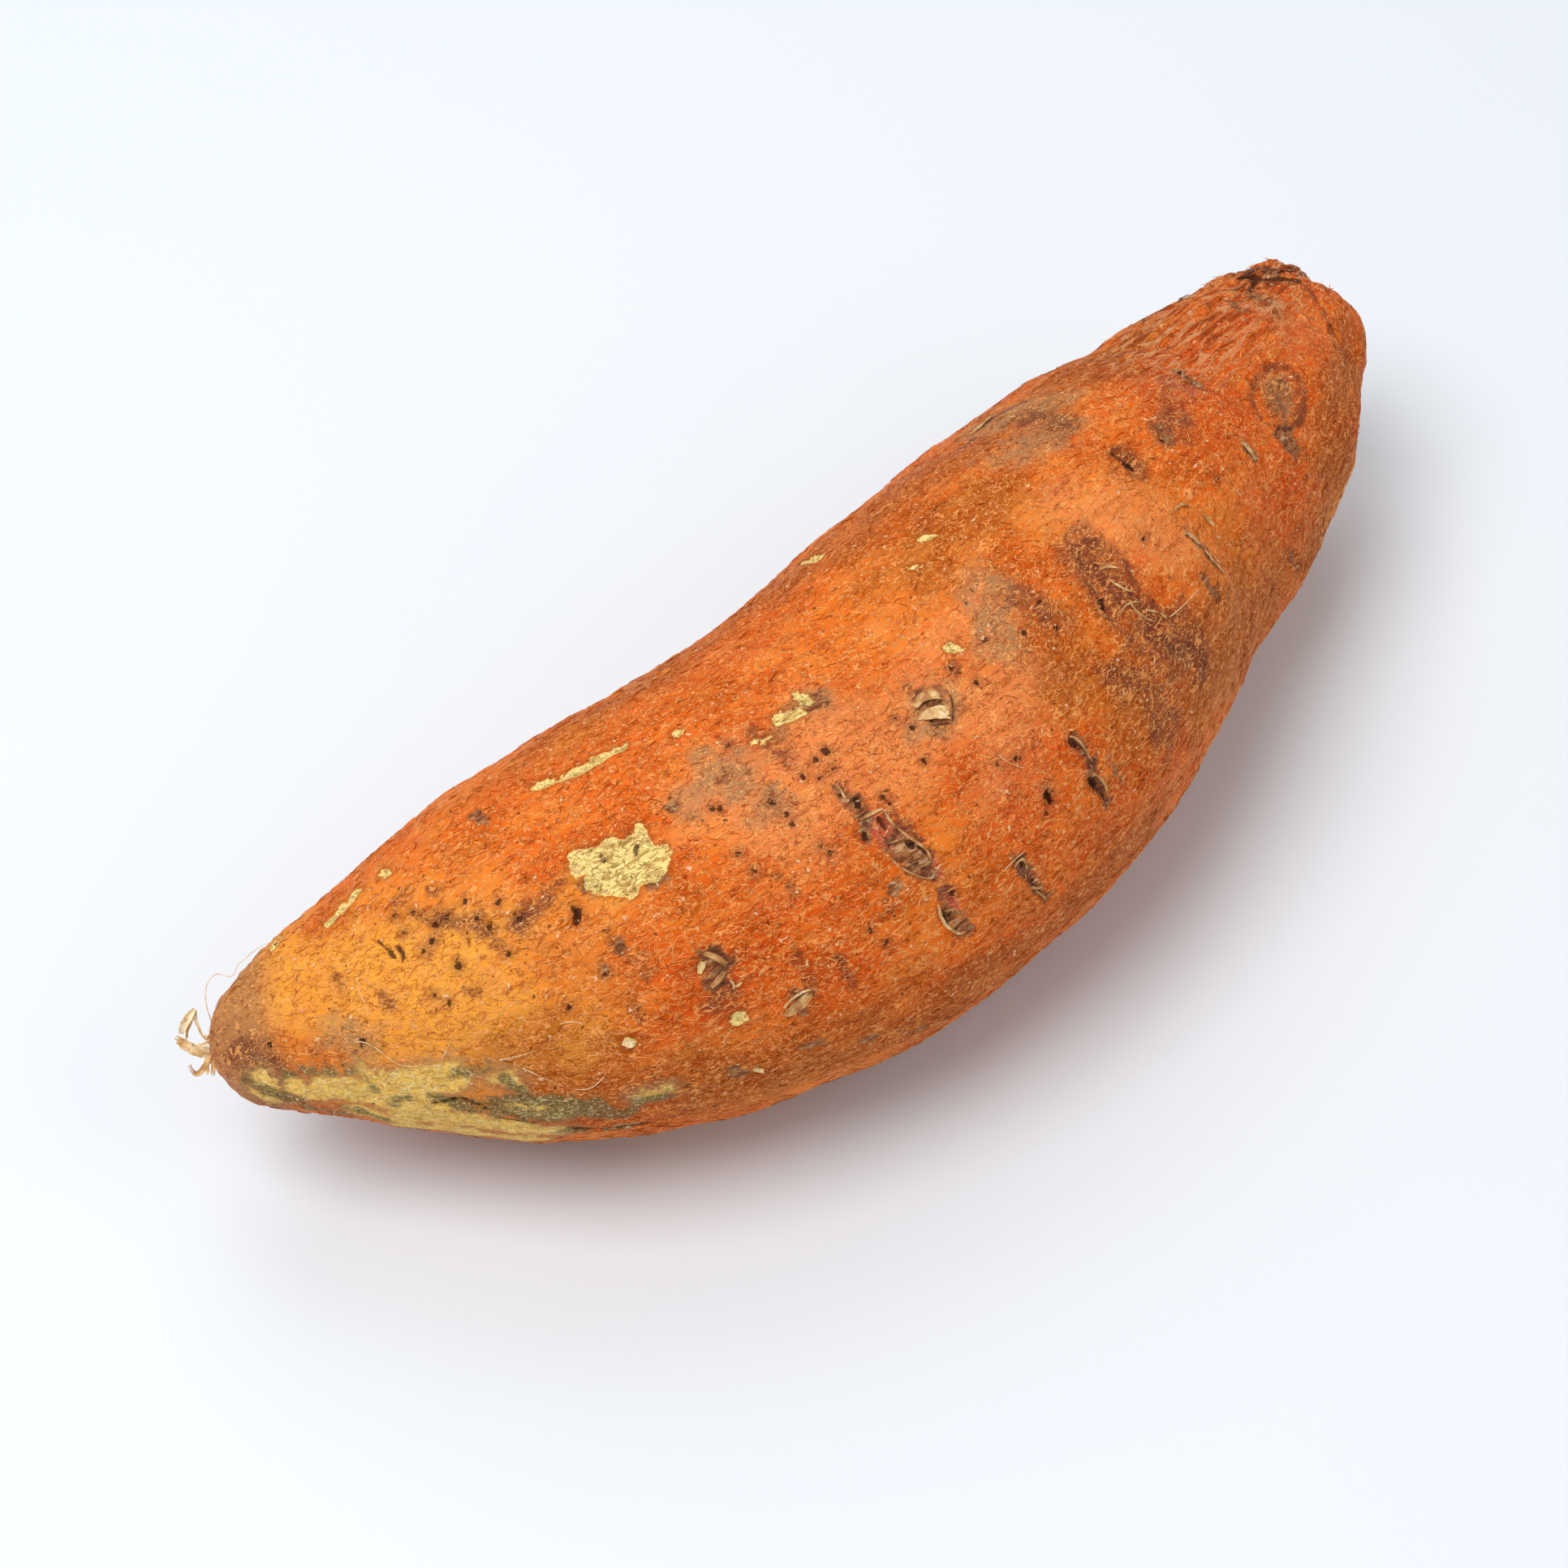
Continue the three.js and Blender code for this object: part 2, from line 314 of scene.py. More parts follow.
markSet = {
    # cream cork where the skin has come off
    "peel": [
        (1.5, 716, 1062, 736, 1058), (2, 752, 1054, 786, 1046), (2.5, 772, 1074, 800, 1064),
        (1.9, 738, 1082, 770, 1090), (0.8, 788, 1022, 796, 1034), (0.6, 808, 1050, 820, 1048),
        (0.5, 703, 1072, 712, 1080), (0.6, 692, 960, 708, 952), (0.9, 708, 952, 740, 934),
        (0.7, 740, 934, 764, 921), (0.7, 662, 968, 678, 963), (0.6, 834, 903), (0.7, 472, 1074, 478, 1076),
        (1, 910, 1255, 911, 1255), (0.6, 774, 1285, 776, 1286), (0.55, 930, 914, 950, 911),
        (0.5, 1136, 664, 1148, 662), (0.5, 1168, 798, 1186, 802), (0.6, 992, 690, 1010, 687),
        (0.9, 960, 886, 984, 880), (0.6, 984, 858, 996, 862), (0.5, 863, 1192), (0.5, 935, 1318),
        (0.6, 404, 1136, 424, 1116), (0.5, 424, 1116, 440, 1100), (0.5, 340, 1172, 350, 1160),
        (0.4, 1120, 700, 1130, 698),
    ],
    # yellow-green underside by the root tip
    "band": [
        (0.8, 310, 1338, 342, 1350), (1.3, 326, 1326, 336, 1334), (1.6, 366, 1334, 386, 1344),
        (2.2, 404, 1338, 440, 1346), (2.6, 446, 1346, 500, 1338), (2.4, 500, 1338, 556, 1328),
        (2.2, 470, 1356, 540, 1360), (2, 500, 1372, 560, 1380), (2, 560, 1380, 640, 1388),
        (1.4, 640, 1388, 690, 1392), (1.1, 612, 1326, 632, 1332), (1.3, 630, 1362, 700, 1366),
        (0.9, 786, 1352, 822, 1344), (0.7, 442, 1318, 456, 1322), (1.6, 440, 1368, 500, 1382),
        (2, 500, 1386, 580, 1396), (1.8, 580, 1398, 660, 1402),
    ],
    # olive-brown crust in and round it
    "crust": [
        (0.5, 352, 1320, 440, 1318), (0.7, 560, 1324, 604, 1316), (1, 540, 1352, 566, 1362, 600, 1360),
        (1, 600, 1360, 640, 1352), (1.3, 640, 1352, 740, 1358), (1.5, 700, 1366, 770, 1372),
        (0.8, 690, 1392, 790, 1386), (0.6, 430, 1366, 480, 1380), (0.6, 306, 1326, 346, 1344),
        (0.6, 486, 1360, 506, 1352), (0.4, 452, 1332, 462, 1344), (0.9, 784, 1356, 824, 1352),
        (1, 330, 1338, 370, 1350), (1.1, 612, 1368, 684, 1372), (0.8, 380, 1360, 430, 1372),
        (0.7, 606, 1318, 640, 1344),
    ],
    # grey-brown cork
    "cork": [
        (1, 829, 995), (1.3, 998, 868, 1008, 862), (0.9, 722, 1088, 730, 1090), (0.8, 800, 1092, 818, 1080),
        (0.6, 1036, 974, 1046, 990), (0.9, 1054, 984, 1064, 1006), (0.8, 1062, 1020, 1074, 1034),
        (1.2, 1108, 1034, 1144, 1066), (0.9, 1098, 1046, 1124, 1064), (0.9, 1124, 1068, 1148, 1076),
        (0.5, 1162, 1104, 1166, 1124), (1, 1170, 1128, 1184, 1144), (0.5, 1186, 1126, 1196, 1146),
        (0.9, 1258, 1060, 1262, 1072), (0.6, 1264, 1076, 1280, 1098), (0.5, 1276, 1090, 1290, 1110),
        (0.6, 1325, 912, 1345, 940), (0.7, 1344, 954, 1364, 984), (0.4, 1364, 938, 1382, 960),
        (0.7, 1462, 660, 1494, 694), (0.5, 1478, 708, 1500, 738), (1.2, 875, 1178, 890, 1188),
        (1.1, 876, 1212, 890, 1200), (0.8, 586, 1004, 598, 1014), (0.6, 747, 1195),
        (0.5, 762, 1160, 766, 1176), (0.8, 1102, 1090, 1102, 1100), (0.7, 1433, 528, 1437, 540),
        (0.6, 1452, 458, 1478, 474), (0.8, 1530, 548, 1542, 562), (1.7, 1584, 540, 1594, 552),
        (1.1, 1576, 536, 1590, 530), (1.3, 1140, 862, 1154, 866), (0.7, 980, 1226, 990, 1244),
        (0.5, 988, 1289, 1010, 1286), (0.5, 1060, 1281, 1080, 1278), (0.5, 1120, 1270, 1136, 1264),
        (0.5, 900, 1318, 918, 1322), (0.7, 1540, 364, 1566, 372), (0.6, 1512, 372, 1530, 384),
    ],
    # red flesh at the root of a scar
    "raw": [
        (1.2, 1070, 1008, 1096, 1040), (0.9, 1094, 1012, 1130, 1042), (0.8, 1150, 1060, 1156, 1078),
        (1, 1164, 1098, 1176, 1118), (0.6, 1192, 1138, 1198, 1150), (0.8, 1440, 470, 1470, 480),
    ],
    # small dark purple-brown bruises and rims
    "bruise": [
        (1, 1376, 556, 1396, 574), (0.8, 1428, 524, 1440, 544), (0.7, 1450, 456, 1484, 478),
        (1.2, 1326, 682, 1346, 672), (1.2, 1336, 702, 1358, 700), (1.5, 1362, 716, 1386, 738),
        (1.5, 1396, 742, 1424, 768), (1.3, 1418, 784, 1450, 800), (1.2, 1466, 800, 1486, 826),
        (0.6, 1474, 668, 1506, 704), (0.6, 1484, 712, 1506, 744), (0.8, 1036, 966, 1050, 980),
        (0.8, 1100, 1000, 1134, 1036), (0.8, 1164, 1090, 1172, 1104), (0.9, 1182, 1148, 1196, 1150),
        (0.9, 634, 1142, 650, 1128), (0.8, 650, 1128, 676, 1108), (0.7, 980, 1174, 1004, 1226),
        (0.6, 1032, 1178, 1052, 1214), (0.9, 752, 1154, 768, 1178), (0.7, 744, 1188, 752, 1202),
        (1.2, 870, 1176, 896, 1186), (1.1, 878, 1204, 892, 1216), (0.8, 1120, 846, 1130, 860),
        (0.7, 1172, 816, 1178, 830), (0.7, 1316, 902, 1344, 942), (0.7, 1342, 946, 1366, 990),
        (0.6, 1286, 970, 1300, 992), (0.7, 1250, 1056, 1290, 1108), (0.9, 790, 1180, 796, 1200),
        (0.7, 1094, 1110, 1096, 1118), (0.9, 530, 1096, 538, 1094), (0.7, 412, 1204, 422, 1216),
        (1.1, 524, 1128, 540, 1132), (0.7, 490, 1110, 500, 1100), (0.8, 574, 1216, 582, 1222),
        (0.9, 600, 1150, 612, 1160), (0.8, 474, 1230, 484, 1240), (0.8, 776, 1234, 790, 1252),
        (0.6, 888, 962, 900, 952), (0.9, 1588, 684, 1600, 700), (0.6, 960, 1078, 980, 1098),
    ],
    # dark edge of a scar
    "rim": [
        (0.5, 1545, 472, 1560, 456, 1584, 452, 1602, 470, 1609, 498, 1602, 522),
        (0.4, 1602, 522, 1580, 530, 1556, 518, 1543, 494, 1545, 472),
        (0.4, 1092, 1034, 1104, 1062, 1126, 1078, 1150, 1082), (0.4, 1100, 1014, 1128, 1030, 1150, 1056),
        (0.4, 1056, 984, 1070, 996, 1066, 1016), (0.35, 1250, 1062, 1262, 1084, 1286, 1108),
        (0.35, 1320, 910, 1340, 936, 1350, 950),
        (0.4, 866, 1178, 880, 1172, 896, 1182, 892, 1216, 876, 1218),
        (0.6, 1538, 348, 1566, 352, 1600, 352), (0.35, 1612, 360, 1630, 384, 1640, 412),
        (0.4, 1212, 522, 1236, 506, 1262, 496), (0.35, 1180, 552, 1200, 540),
        (0.35, 1250, 528, 1276, 512, 1300, 502), (0.35, 1128, 850, 1150, 846, 1166, 856),
        (0.35, 1386, 692, 1402, 726, 1430, 752),
    ],
    # places without fibres
    "smooth": [
        (4, 1405, 700, 1446, 730), (3, 1336, 688, 1366, 720), (3, 1400, 772, 1460, 806),
        (3, 1570, 380, 1610, 430),
    ],
    # purple-grey stain
    "stain": [
        (4.4, 1335, 680, 1360, 700), (4.6, 1355, 715, 1395, 760), (5, 1410, 780, 1470, 800),
        (3, 1380, 830, 1440, 840), (3.2, 1420, 860, 1440, 910), (2.2, 1250, 740, 1300, 760),
        (2.2, 1575, 478, 1578, 500), (2.2, 302, 1306, 345, 1318), (1.8, 640, 1138, 672, 1112),
        (2, 545, 1142, 580, 1135), (2, 880, 1190, 895, 1230), (1.8, 930, 905, 960, 920),
        (2.2, 1385, 562, 1392, 575), (1.8, 1440, 530, 1452, 470), (2.4, 1270, 515, 1310, 520),
        (2.6, 1545, 340, 1598, 338), (2, 1548, 372, 1566, 378),
    ],
    # olive-grey stain
    "ash": [
        (4, 890, 950, 905, 965), (2.6, 940, 990, 960, 1000), (2.6, 975, 880, 1010, 860),
        (3.6, 1215, 715, 1235, 790), (3.6, 1240, 560, 1310, 520), (4, 1215, 525, 1290, 495),
        (3.6, 1150, 870, 1140, 880), (2.5, 840, 985, 870, 975), (3, 420, 1280, 440, 1285),
        (2.6, 1575, 482, 1580, 500),
    ],
    # brown earthy tone; its long lines along the root's lower and upper edges are painted shade
    "umberAndShade": [
        (7, 640, 1330, 900, 1340), (4, 640, 1290, 760, 1300), (2.5, 300, 1300, 350, 1316),
        (5, 1120, 700, 1220, 610), (7, 900, 1340, 1180, 1230), (5, 1180, 1230, 1420, 1010),
        (8, 1480, 820, 1560, 740), (5, 1600, 700, 1660, 560), (6, 1660, 440, 1640, 560),
        (5, 700, 900, 1000, 680), (6, 1060, 660, 1400, 420), (6, 1320, 820, 1400, 880),
    ],
    # bright yellow-orange tone, and a painted highlight on the upper side near the root tip
    "amberAndHighlight": [
        (11, 340, 1225, 420, 1235), (12, 430, 1230, 640, 1230), (6, 520, 1170, 700, 1150),
    ],
    # pale pink tone, and a painted sheen across the middle of the root
    "blushAndSheen": [
        (9, 960, 980, 1040, 940), (7, 1060, 930, 1240, 850), (6, 1230, 850, 1240, 950),
        (4, 1160, 806, 1200, 800), (6, 900, 1000, 960, 960), (5, 1330, 640, 1440, 660),
        (3, 1570, 385, 1600, 400),
    ],
    # deep red-orange tone
    "ember": [
        (10, 1420, 480, 1560, 400), (6, 1600, 350, 1655, 390), (9, 1500, 470, 1520, 540),
        (11, 1600, 390, 1640, 480), (8, 1540, 560, 1600, 600), (5, 1400, 700, 1450, 730),
        (7, 860, 1210, 1010, 1180), (6, 1360, 1050, 1450, 940), (4, 350, 1290, 400, 1300),
        (7, 1240, 1000, 1300, 960), (6, 700, 1170, 800, 1200),
    ],
    # open cracks
    "crack": [
        (0.8, 1532, 344, 1560, 345, 1597, 348), (0.35, 1540, 358, 1548, 346), (0.3, 1560, 336, 1590, 333),
        (0.3, 1291, 978, 1298, 989), (0.24, 1084, 1008, 1092, 1020), (0.24, 1128, 1036, 1144, 1052),
        (0.24, 1160, 1120, 1170, 1138), (0.24, 1350, 962, 1362, 984),
        (0.26, 536, 1360, 566, 1354, 598, 1366), (0.26, 700, 1388, 740, 1392, 800, 1386),
        (0.22, 610, 1378, 660, 1382), (0.2, 740, 1052, 744, 1060), (0.2, 784, 1040, 782, 1052),
        (0.22, 464, 1160, 476, 1166, 484, 1178), (0.22, 490, 1166, 498, 1176, 494, 1184),
        (0.24, 706, 1118, 712, 1134), (0.26, 1372, 556, 1388, 568, 1398, 574), (0.3, 1358, 740, 1366, 752),
        (0.26, 1640, 400, 1650, 420),
    ],
    # dark pits; the small round ones are in pitSet
    "pit": [
        (0.56, 1292, 981, 1296, 986), (0.54, 1016, 924, 1020, 927), (0.54, 1388, 568, 1396, 574),
        (0.56, 712, 1122, 710, 1136), (0.54, 1057, 986, 1059, 992), (0.54, 1066, 1028, 1068, 1034),
        (0.5, 1121, 1037, 1127, 1043), (0.54, 1272, 1086, 1274, 1090), (0.54, 1320, 914, 1324, 918),
        (0.56, 1344, 962, 1350, 970), (0.5, 950, 987, 954, 989), (0.54, 1356, 742, 1360, 748),
    ],
}
pitSet = {  # half width in mm and the pixels of round pits
    0.46: [
        (552, 1236), (1252, 935), (1230, 941), (1098, 988), (1150, 890), (1500, 590), (744, 1200),
    ],
    0.5: [
        (586, 1132), (550, 1129), (1173, 822), (1203, 842), (1104, 885), (877, 996), (533, 1226),
        (508, 1124), (520, 1172), (497, 1150), (602, 1142), (572, 1110), (486, 1128), (1038, 978),
        (1131, 1065), (1140, 1070), (1174, 1130), (929, 1074), (1005, 936), (1028, 946), (990, 956),
        (1012, 957), (969, 1003), (896, 918), (1290, 1003), (976, 1015), (1093, 1162), (1282, 742),
        (1302, 774), (1262, 780), (1214, 788), (1434, 540), (1454, 456), (1470, 470), (640, 1132),
        (910, 1052), (1012, 1042), (1024, 1051), (1088, 982), (1140, 938), (856, 1008), (1176, 1102),
        (1410, 664), (700, 1242), (626, 1176),
    ],
    0.54: [
        (531, 1159), (335, 1286), (1125, 897), (1074, 1147), (887, 996), (1260, 1066),
    ],
    0.56: [
        (535, 1139), (614, 1111), (448, 1283),
    ],
    0.6: [
        (563, 1190),
    ],
}
for halfWidth, pixels in pitSet.items():
    markSet["pit"] += [(halfWidth, *pixel) for pixel in pixels]


def depthInLine(points, places, halfWidth):
    # millimetres inside the edge of a line through these places, negative outside it
    nearest = np.full(len(points), 1e3)
    for start, end in zip(places[:-1], places[1:]):
        run = end - start
        share = np.clip(((points - start) @ run) / max(run @ run, 1e-12), 0, 1)
        nearest = np.minimum(nearest, np.linalg.norm(points - start - share[:, None] * run, axis=1) / mm)
    return halfWidth - nearest


farAway = -12.0
marks = {}
for kind, lines in markSet.items():
    marks[kind] = np.full(len(skinPoints), farAway)
    for halfWidth, *numbers in lines:
        places = placesUnder(numbers)
        if len(places) == 1:
            places = places * 2
        marks[kind] = np.maximum(marks[kind], depthInLine(skinPoints, places, halfWidth))

# The sides that the camera doesn't see carry the same kinds of marks, scattered
hiddenSet = {
    "seed": 11,
    "facing": -0.12,  # how far a place has to face away from the camera
    "reach": 98,      # millimetres from the middle
    "shortest": 0.2,  # share of the longest length
    "lowest": 12,     # flakes and hairs stay this far above the floor
    "kinds": {  # how many, smallest and largest half width, longest length, how much of it runs across
        "peel": (9, 0.6, 2.6, 9, 0.3),
        "cork": (26, 0.5, 1.6, 9, 0.8),
        "raw": (5, 0.7, 1.2, 5, 0.9),
        "stain": (10, 1.6, 4.5, 12, 0.5),
        "ash": (12, 2.0, 5.0, 14, 0.3),
        "umberAndShade": (9, 4, 8, 40, 0.2),
        "amberAndHighlight": (5, 6, 11, 30, 0.2),
        "blushAndSheen": (5, 4, 8, 25, 0.3),
        "ember": (7, 4, 8, 25, 0.3),
        "pit": (90, 0.46, 0.6, 0.6, 0.5),
        "crack": (14, 0.22, 0.32, 6, 0.8),
        "bruise": (45, 0.5, 1.3, 7, 0.7),
    },
}
draw = np.random.default_rng(hiddenSet["seed"])
facing = skinNormals @ np.array(towardsCamera)
hidden = np.flatnonzero((facing < hiddenSet["facing"]) & (np.abs(lengthAt) < hiddenSet["reach"]))
for kind, (count, thin, thick, long, across) in hiddenSet["kinds"].items():
    for index in draw.choice(hidden, count, replace=False):
        middle, normal, along = skinPoints[index], skinNormals[index], skinAlong[index]
        sideways = np.cross(normal, along)
        length = draw.uniform(hiddenSet["shortest"], 1.0) * long * mm
        half = length / 2 * (along * (1 - across) + sideways * across * draw.choice([-1, 1]))
        line = [middle - half, middle, middle + half]
        marks[kind] = np.maximum(marks[kind], depthInLine(skinPoints, line, draw.uniform(thin, thick)))
print("marks placed:", ", ".join(marks))


# Relief that the skin has from close up, as moves along its normals

reliefSet = [  # mark, where its edge starts and ends, how deep it lies, and its roughness: height, size, seed
    ("peel", -0.25, 0.25, 0.28, 0, 1, 0),
    ("cork", -0.4, 0.4, 0.10, 0.30, 1.5, 7),
    ("raw", -0.6, 0.4, 0.35, 0, 1, 0),
    ("bruise", -0.7, 0.3, 0.12, 0.22, 1.8, 10),
    ("pit", -0.5, 0.2, 0.30, 0, 1, 0),
    ("crack", -0.5, 0.2, 0.40, 0, 1, 0),
]
lipSet = [  # mark, height of the lip round it, how far outside the edge it stands, its half width
    ("peel", 0.10, 0.5, 0.35),
    ("cork", 0.12, 0.4, 0.4),
    ("crack", 0.12, 0.8, 0.4),
]
raggedSet = {"peel": (0.7, 2.2, 3), "cork": (0.6, 1.6, 4), "band": (0.8, 3, 8)}  # wander, its size, seed

markEdges = dict(marks)
for kind, (wander, size, seed) in raggedSet.items():
    markEdges[kind] = marks[kind] + wander * noiseAt(skinPoints, size, seed, 3)
crown = smoothStep(lengthAt, *skinSet["wrinkleOver"])
turned = -np.cos(np.radians(angleAt + skinSet["wrinkleTurn"]))
ridged = crown - crown * smoothStep(turned, *skinSet["wrinkleFade"])
rise = skinSet["swell"] * noiseAt(skinPoints, skinSet["swellSize"], 1)
rise += skinSet["dimple"] * noiseAt(skinPoints, skinSet["dimpleSize"], 2, 3)
rise += skinSet["grain"] * noiseAt(skinStraight, skinSet["grainSize"], 5)
ridges = 1 - np.abs(noiseAt(skinStraight, skinSet["wrinkleSize"], 6, 1)) * skinSet["wrinkleSharp"]
least = skinSet["wrinkleLeast"]
rise += skinSet["wrinkle"] * (least + (1 - least) * ridged) * crown * (ridges - 0.5)
for kind, low, high, depth, rough, size, seed in reliefSet:
    height = rough * noiseAt(skinPoints, size, seed) if rough else 0
    rise += smoothStep(markEdges[kind], low, high) * (height - depth)
for kind, height, outside, halfWidth in lipSet:
    rise += height * np.exp(-((markEdges[kind] + outside) / halfWidth) ** 2)
bandRough = skinSet["bandRough"] * noiseAt(skinStraight, skinSet["bandSize"], 9, 3)
rise += bandRough * smoothStep(markEdges["band"], -0.5, 0.5)
for name in ("tipFill", "stemFill"):
    rise += skinSet[name] * smoothStep(lengthAt, *skinSet[name + "Over"])
rings = noiseAt(skinStraight, skinSet["tipRingSize"], 12)
rise += skinSet["tipRing"] * rings * smoothStep(lengthAt, *skinSet["tipRingOver"])
offFloor = smoothStep(skinPoints[:, 2] / mm, *skinSet["offFloor"])
skinPoints += skinNormals * (rise * offFloor * mm)[:, None]
skinPoints = keepInBox(skinPoints)
skin.data.vertices.foreach_set("co", skinPoints.ravel())
skin.data.update()
selectOnly(skin)
bpy.ops.object.shade_smooth()
skinNormals = readPoints(skin.data, "normal")
surface = skinSurface()
print("relief done, from", rise.min().round(2), "to", rise.max().round(2), "mm")

# Soft tones fade over some millimetres, so each is worked out per point; crisp marks keep their depth in
# millimetres, and the material finds their ragged edge
toneSet = {  # how far the edge wanders, size of the wandering, half of the fade, seed
    "amberAndHighlight": (5.0, (9, 6, 6), 8.0, 21),
    "blushAndSheen": (5.0, (7, 5, 5), 8.0, 22),
    "ember": (5.5, (8, 6, 6), 8.0, 23),
    "umberAndShade": (5.0, (9, 5, 5), 7.0, 24),
    "ash": (2.8, (4, 3, 3), 2.4, 25),
    "stain": (2.8, (4, 3, 3), 2.2, 26),
}
cloudSet = {"mottle": ((8, 5, 5), 27, 5), "cloud": ((30, 18, 18), 28, 3)}  # size, seed, octaves
fields = {}
for kind, (wander, size, fade, seed) in toneSet.items():
    shifted = marks[kind] + wander * noiseAt(skinStraight, size, seed, 4)
    fields[kind] = smoothStep(shifted, -fade, fade)
for kind in ("peel", "band", "crust", "cork", "raw", "bruise", "rim", "crack", "pit"):
    fields[kind] = marks[kind]
for name, (size, seed, octaves) in cloudSet.items():
    fields[name] = noiseAt(skinStraight, size, seed, octaves)
fields["crown"] = crown
fields["ridge"] = ridged
fields["tip"] = smoothStep(lengthAt, *skinSet["tipBrown"])


def writeFields(piece, source, fibre):
    # each point carries the marks under it, the straightened place and whether it is a pale or a dark fibre
    for name, values in fields.items():
        writeValue(piece, name, values[source])
    writeValue(piece, "fibre", fibre)
    straight = piece.data.attributes.new("straight", "FLOAT_VECTOR", "POINT")
    straight.data.foreach_set("vector", skinStraight[source].astype(np.float32).ravel())


writeFields(skin, np.arange(len(skinPoints)), 0.0)


# Skin material: dry periderm of an orange sweet potato, washed and dried, so it shines only faintly

colours = {
    "base": "#E4661A",
    "deep": "#B24606",
    "light": "#F68A2E",
    "amberAndHighlight": "#FFB142",
    "blushAndSheen": "#FFA062",
    "ember": "#D2420A",
    "umberAndShade": "#90420A",
    "tip": "#A0714F",
    "stain": "#6C3A2C",
    "ash": "#A4825A",
    "ridgeLine": "#DC9E6C",
    "ridgeShade": "#82300E",
    "bruise": "#643226",
    "crust": "#705A30",
    "cork": "#A66A42",
    "corkPale": "#E0B080",
    "raw": "#BE5442",
    "peel": "#FFE08E",
    "peelShade": "#C8862E",
    "moss": "#9C6E30",
    "band": "#FAC860",
    "bandPale": "#FFE8A8",
    "bandShade": "#AE7A38",
    "pit": "#3A1E12",
    "fleck": "#FFCC9C",
    "paleFibre": "#FFAC62",
    "darkFibre": "#84360A",
}
patternSet = {  # length along the root and width round it in mm, detail, roughness, distortion
    "speck": (1.3, 0.8, 3, 0.6, 0.8),
    "streak": (11, 1.1, 2, 0.5, 0.3),
    "patchy": (2.4, 1.6, 3, 0.65, 1.0),
    "crest": (13, 1.7, 1, 0.5, 0.4),
    "breaks": (2.2, 1.6, 1, 0.5, 0.5),
    "strandA": (1.6, 0.95, 0, 0.5, 1.4),
    "strandB": (1.5, 0.90, 0, 0.5, 1.4),
    "strandC": (1.0, 0.75, 0, 0.5, 1.2),
    "ragged": (2.0, 1.4, 4, 0.62, 0.6),
    "scurf": (2.2, 0.7, 4, 0.62, 0.9),
    "pinhole": (0.7, 0.7, 0, 0.5, 0.3),
}
edgeSet = {  # millimetres that the ragged pattern moves each crisp mark's edge by
    "raw": 2.4,
    "bruise": 3.6,
    "rim": 2.6,
    "band": 5.0,
    "crust": 5.0,
    "cork": 4.0,
    "peel": 2.6,
    "pit": 0.4,
    "crack": 0.7,
}
maskSet = {  # a share for the layers below: what it reads, where it starts and ends, and the shares there
    "patches": ("patchy", 0.28, 0.62, 0.25, 0.80),
    "paleBits": ("breaks", 0.42, 0.52, 0.0, 0.62),
    "darkBits": ("breaks", 0.58, 0.48, 0.0, 0.60),
    "finePaleBits": ("breaks", 0.64, 0.52, 0.0, 0.50),
    "ridgeLines": ("ridge", 0.0, 1.0, 0.0, 0.78),
    "ridgeValleys": ("ridge", 0.0, 1.0, 0.0, 0.72),
    "bruised": ("speck", 0.62, 0.42, 0.30, 0.80),
    "onBand": ("band", -0.3, 0.6, 0.0, 0.52),
    "onCrust": ("crust", -0.3, 0.5, 0.0, 0.45),
    "onCork": ("cork", -0.3, 0.5, 0.0, 0.75),
    "onPeel": ("peel", -0.1, 0.4, 0.0, 0.70),
}
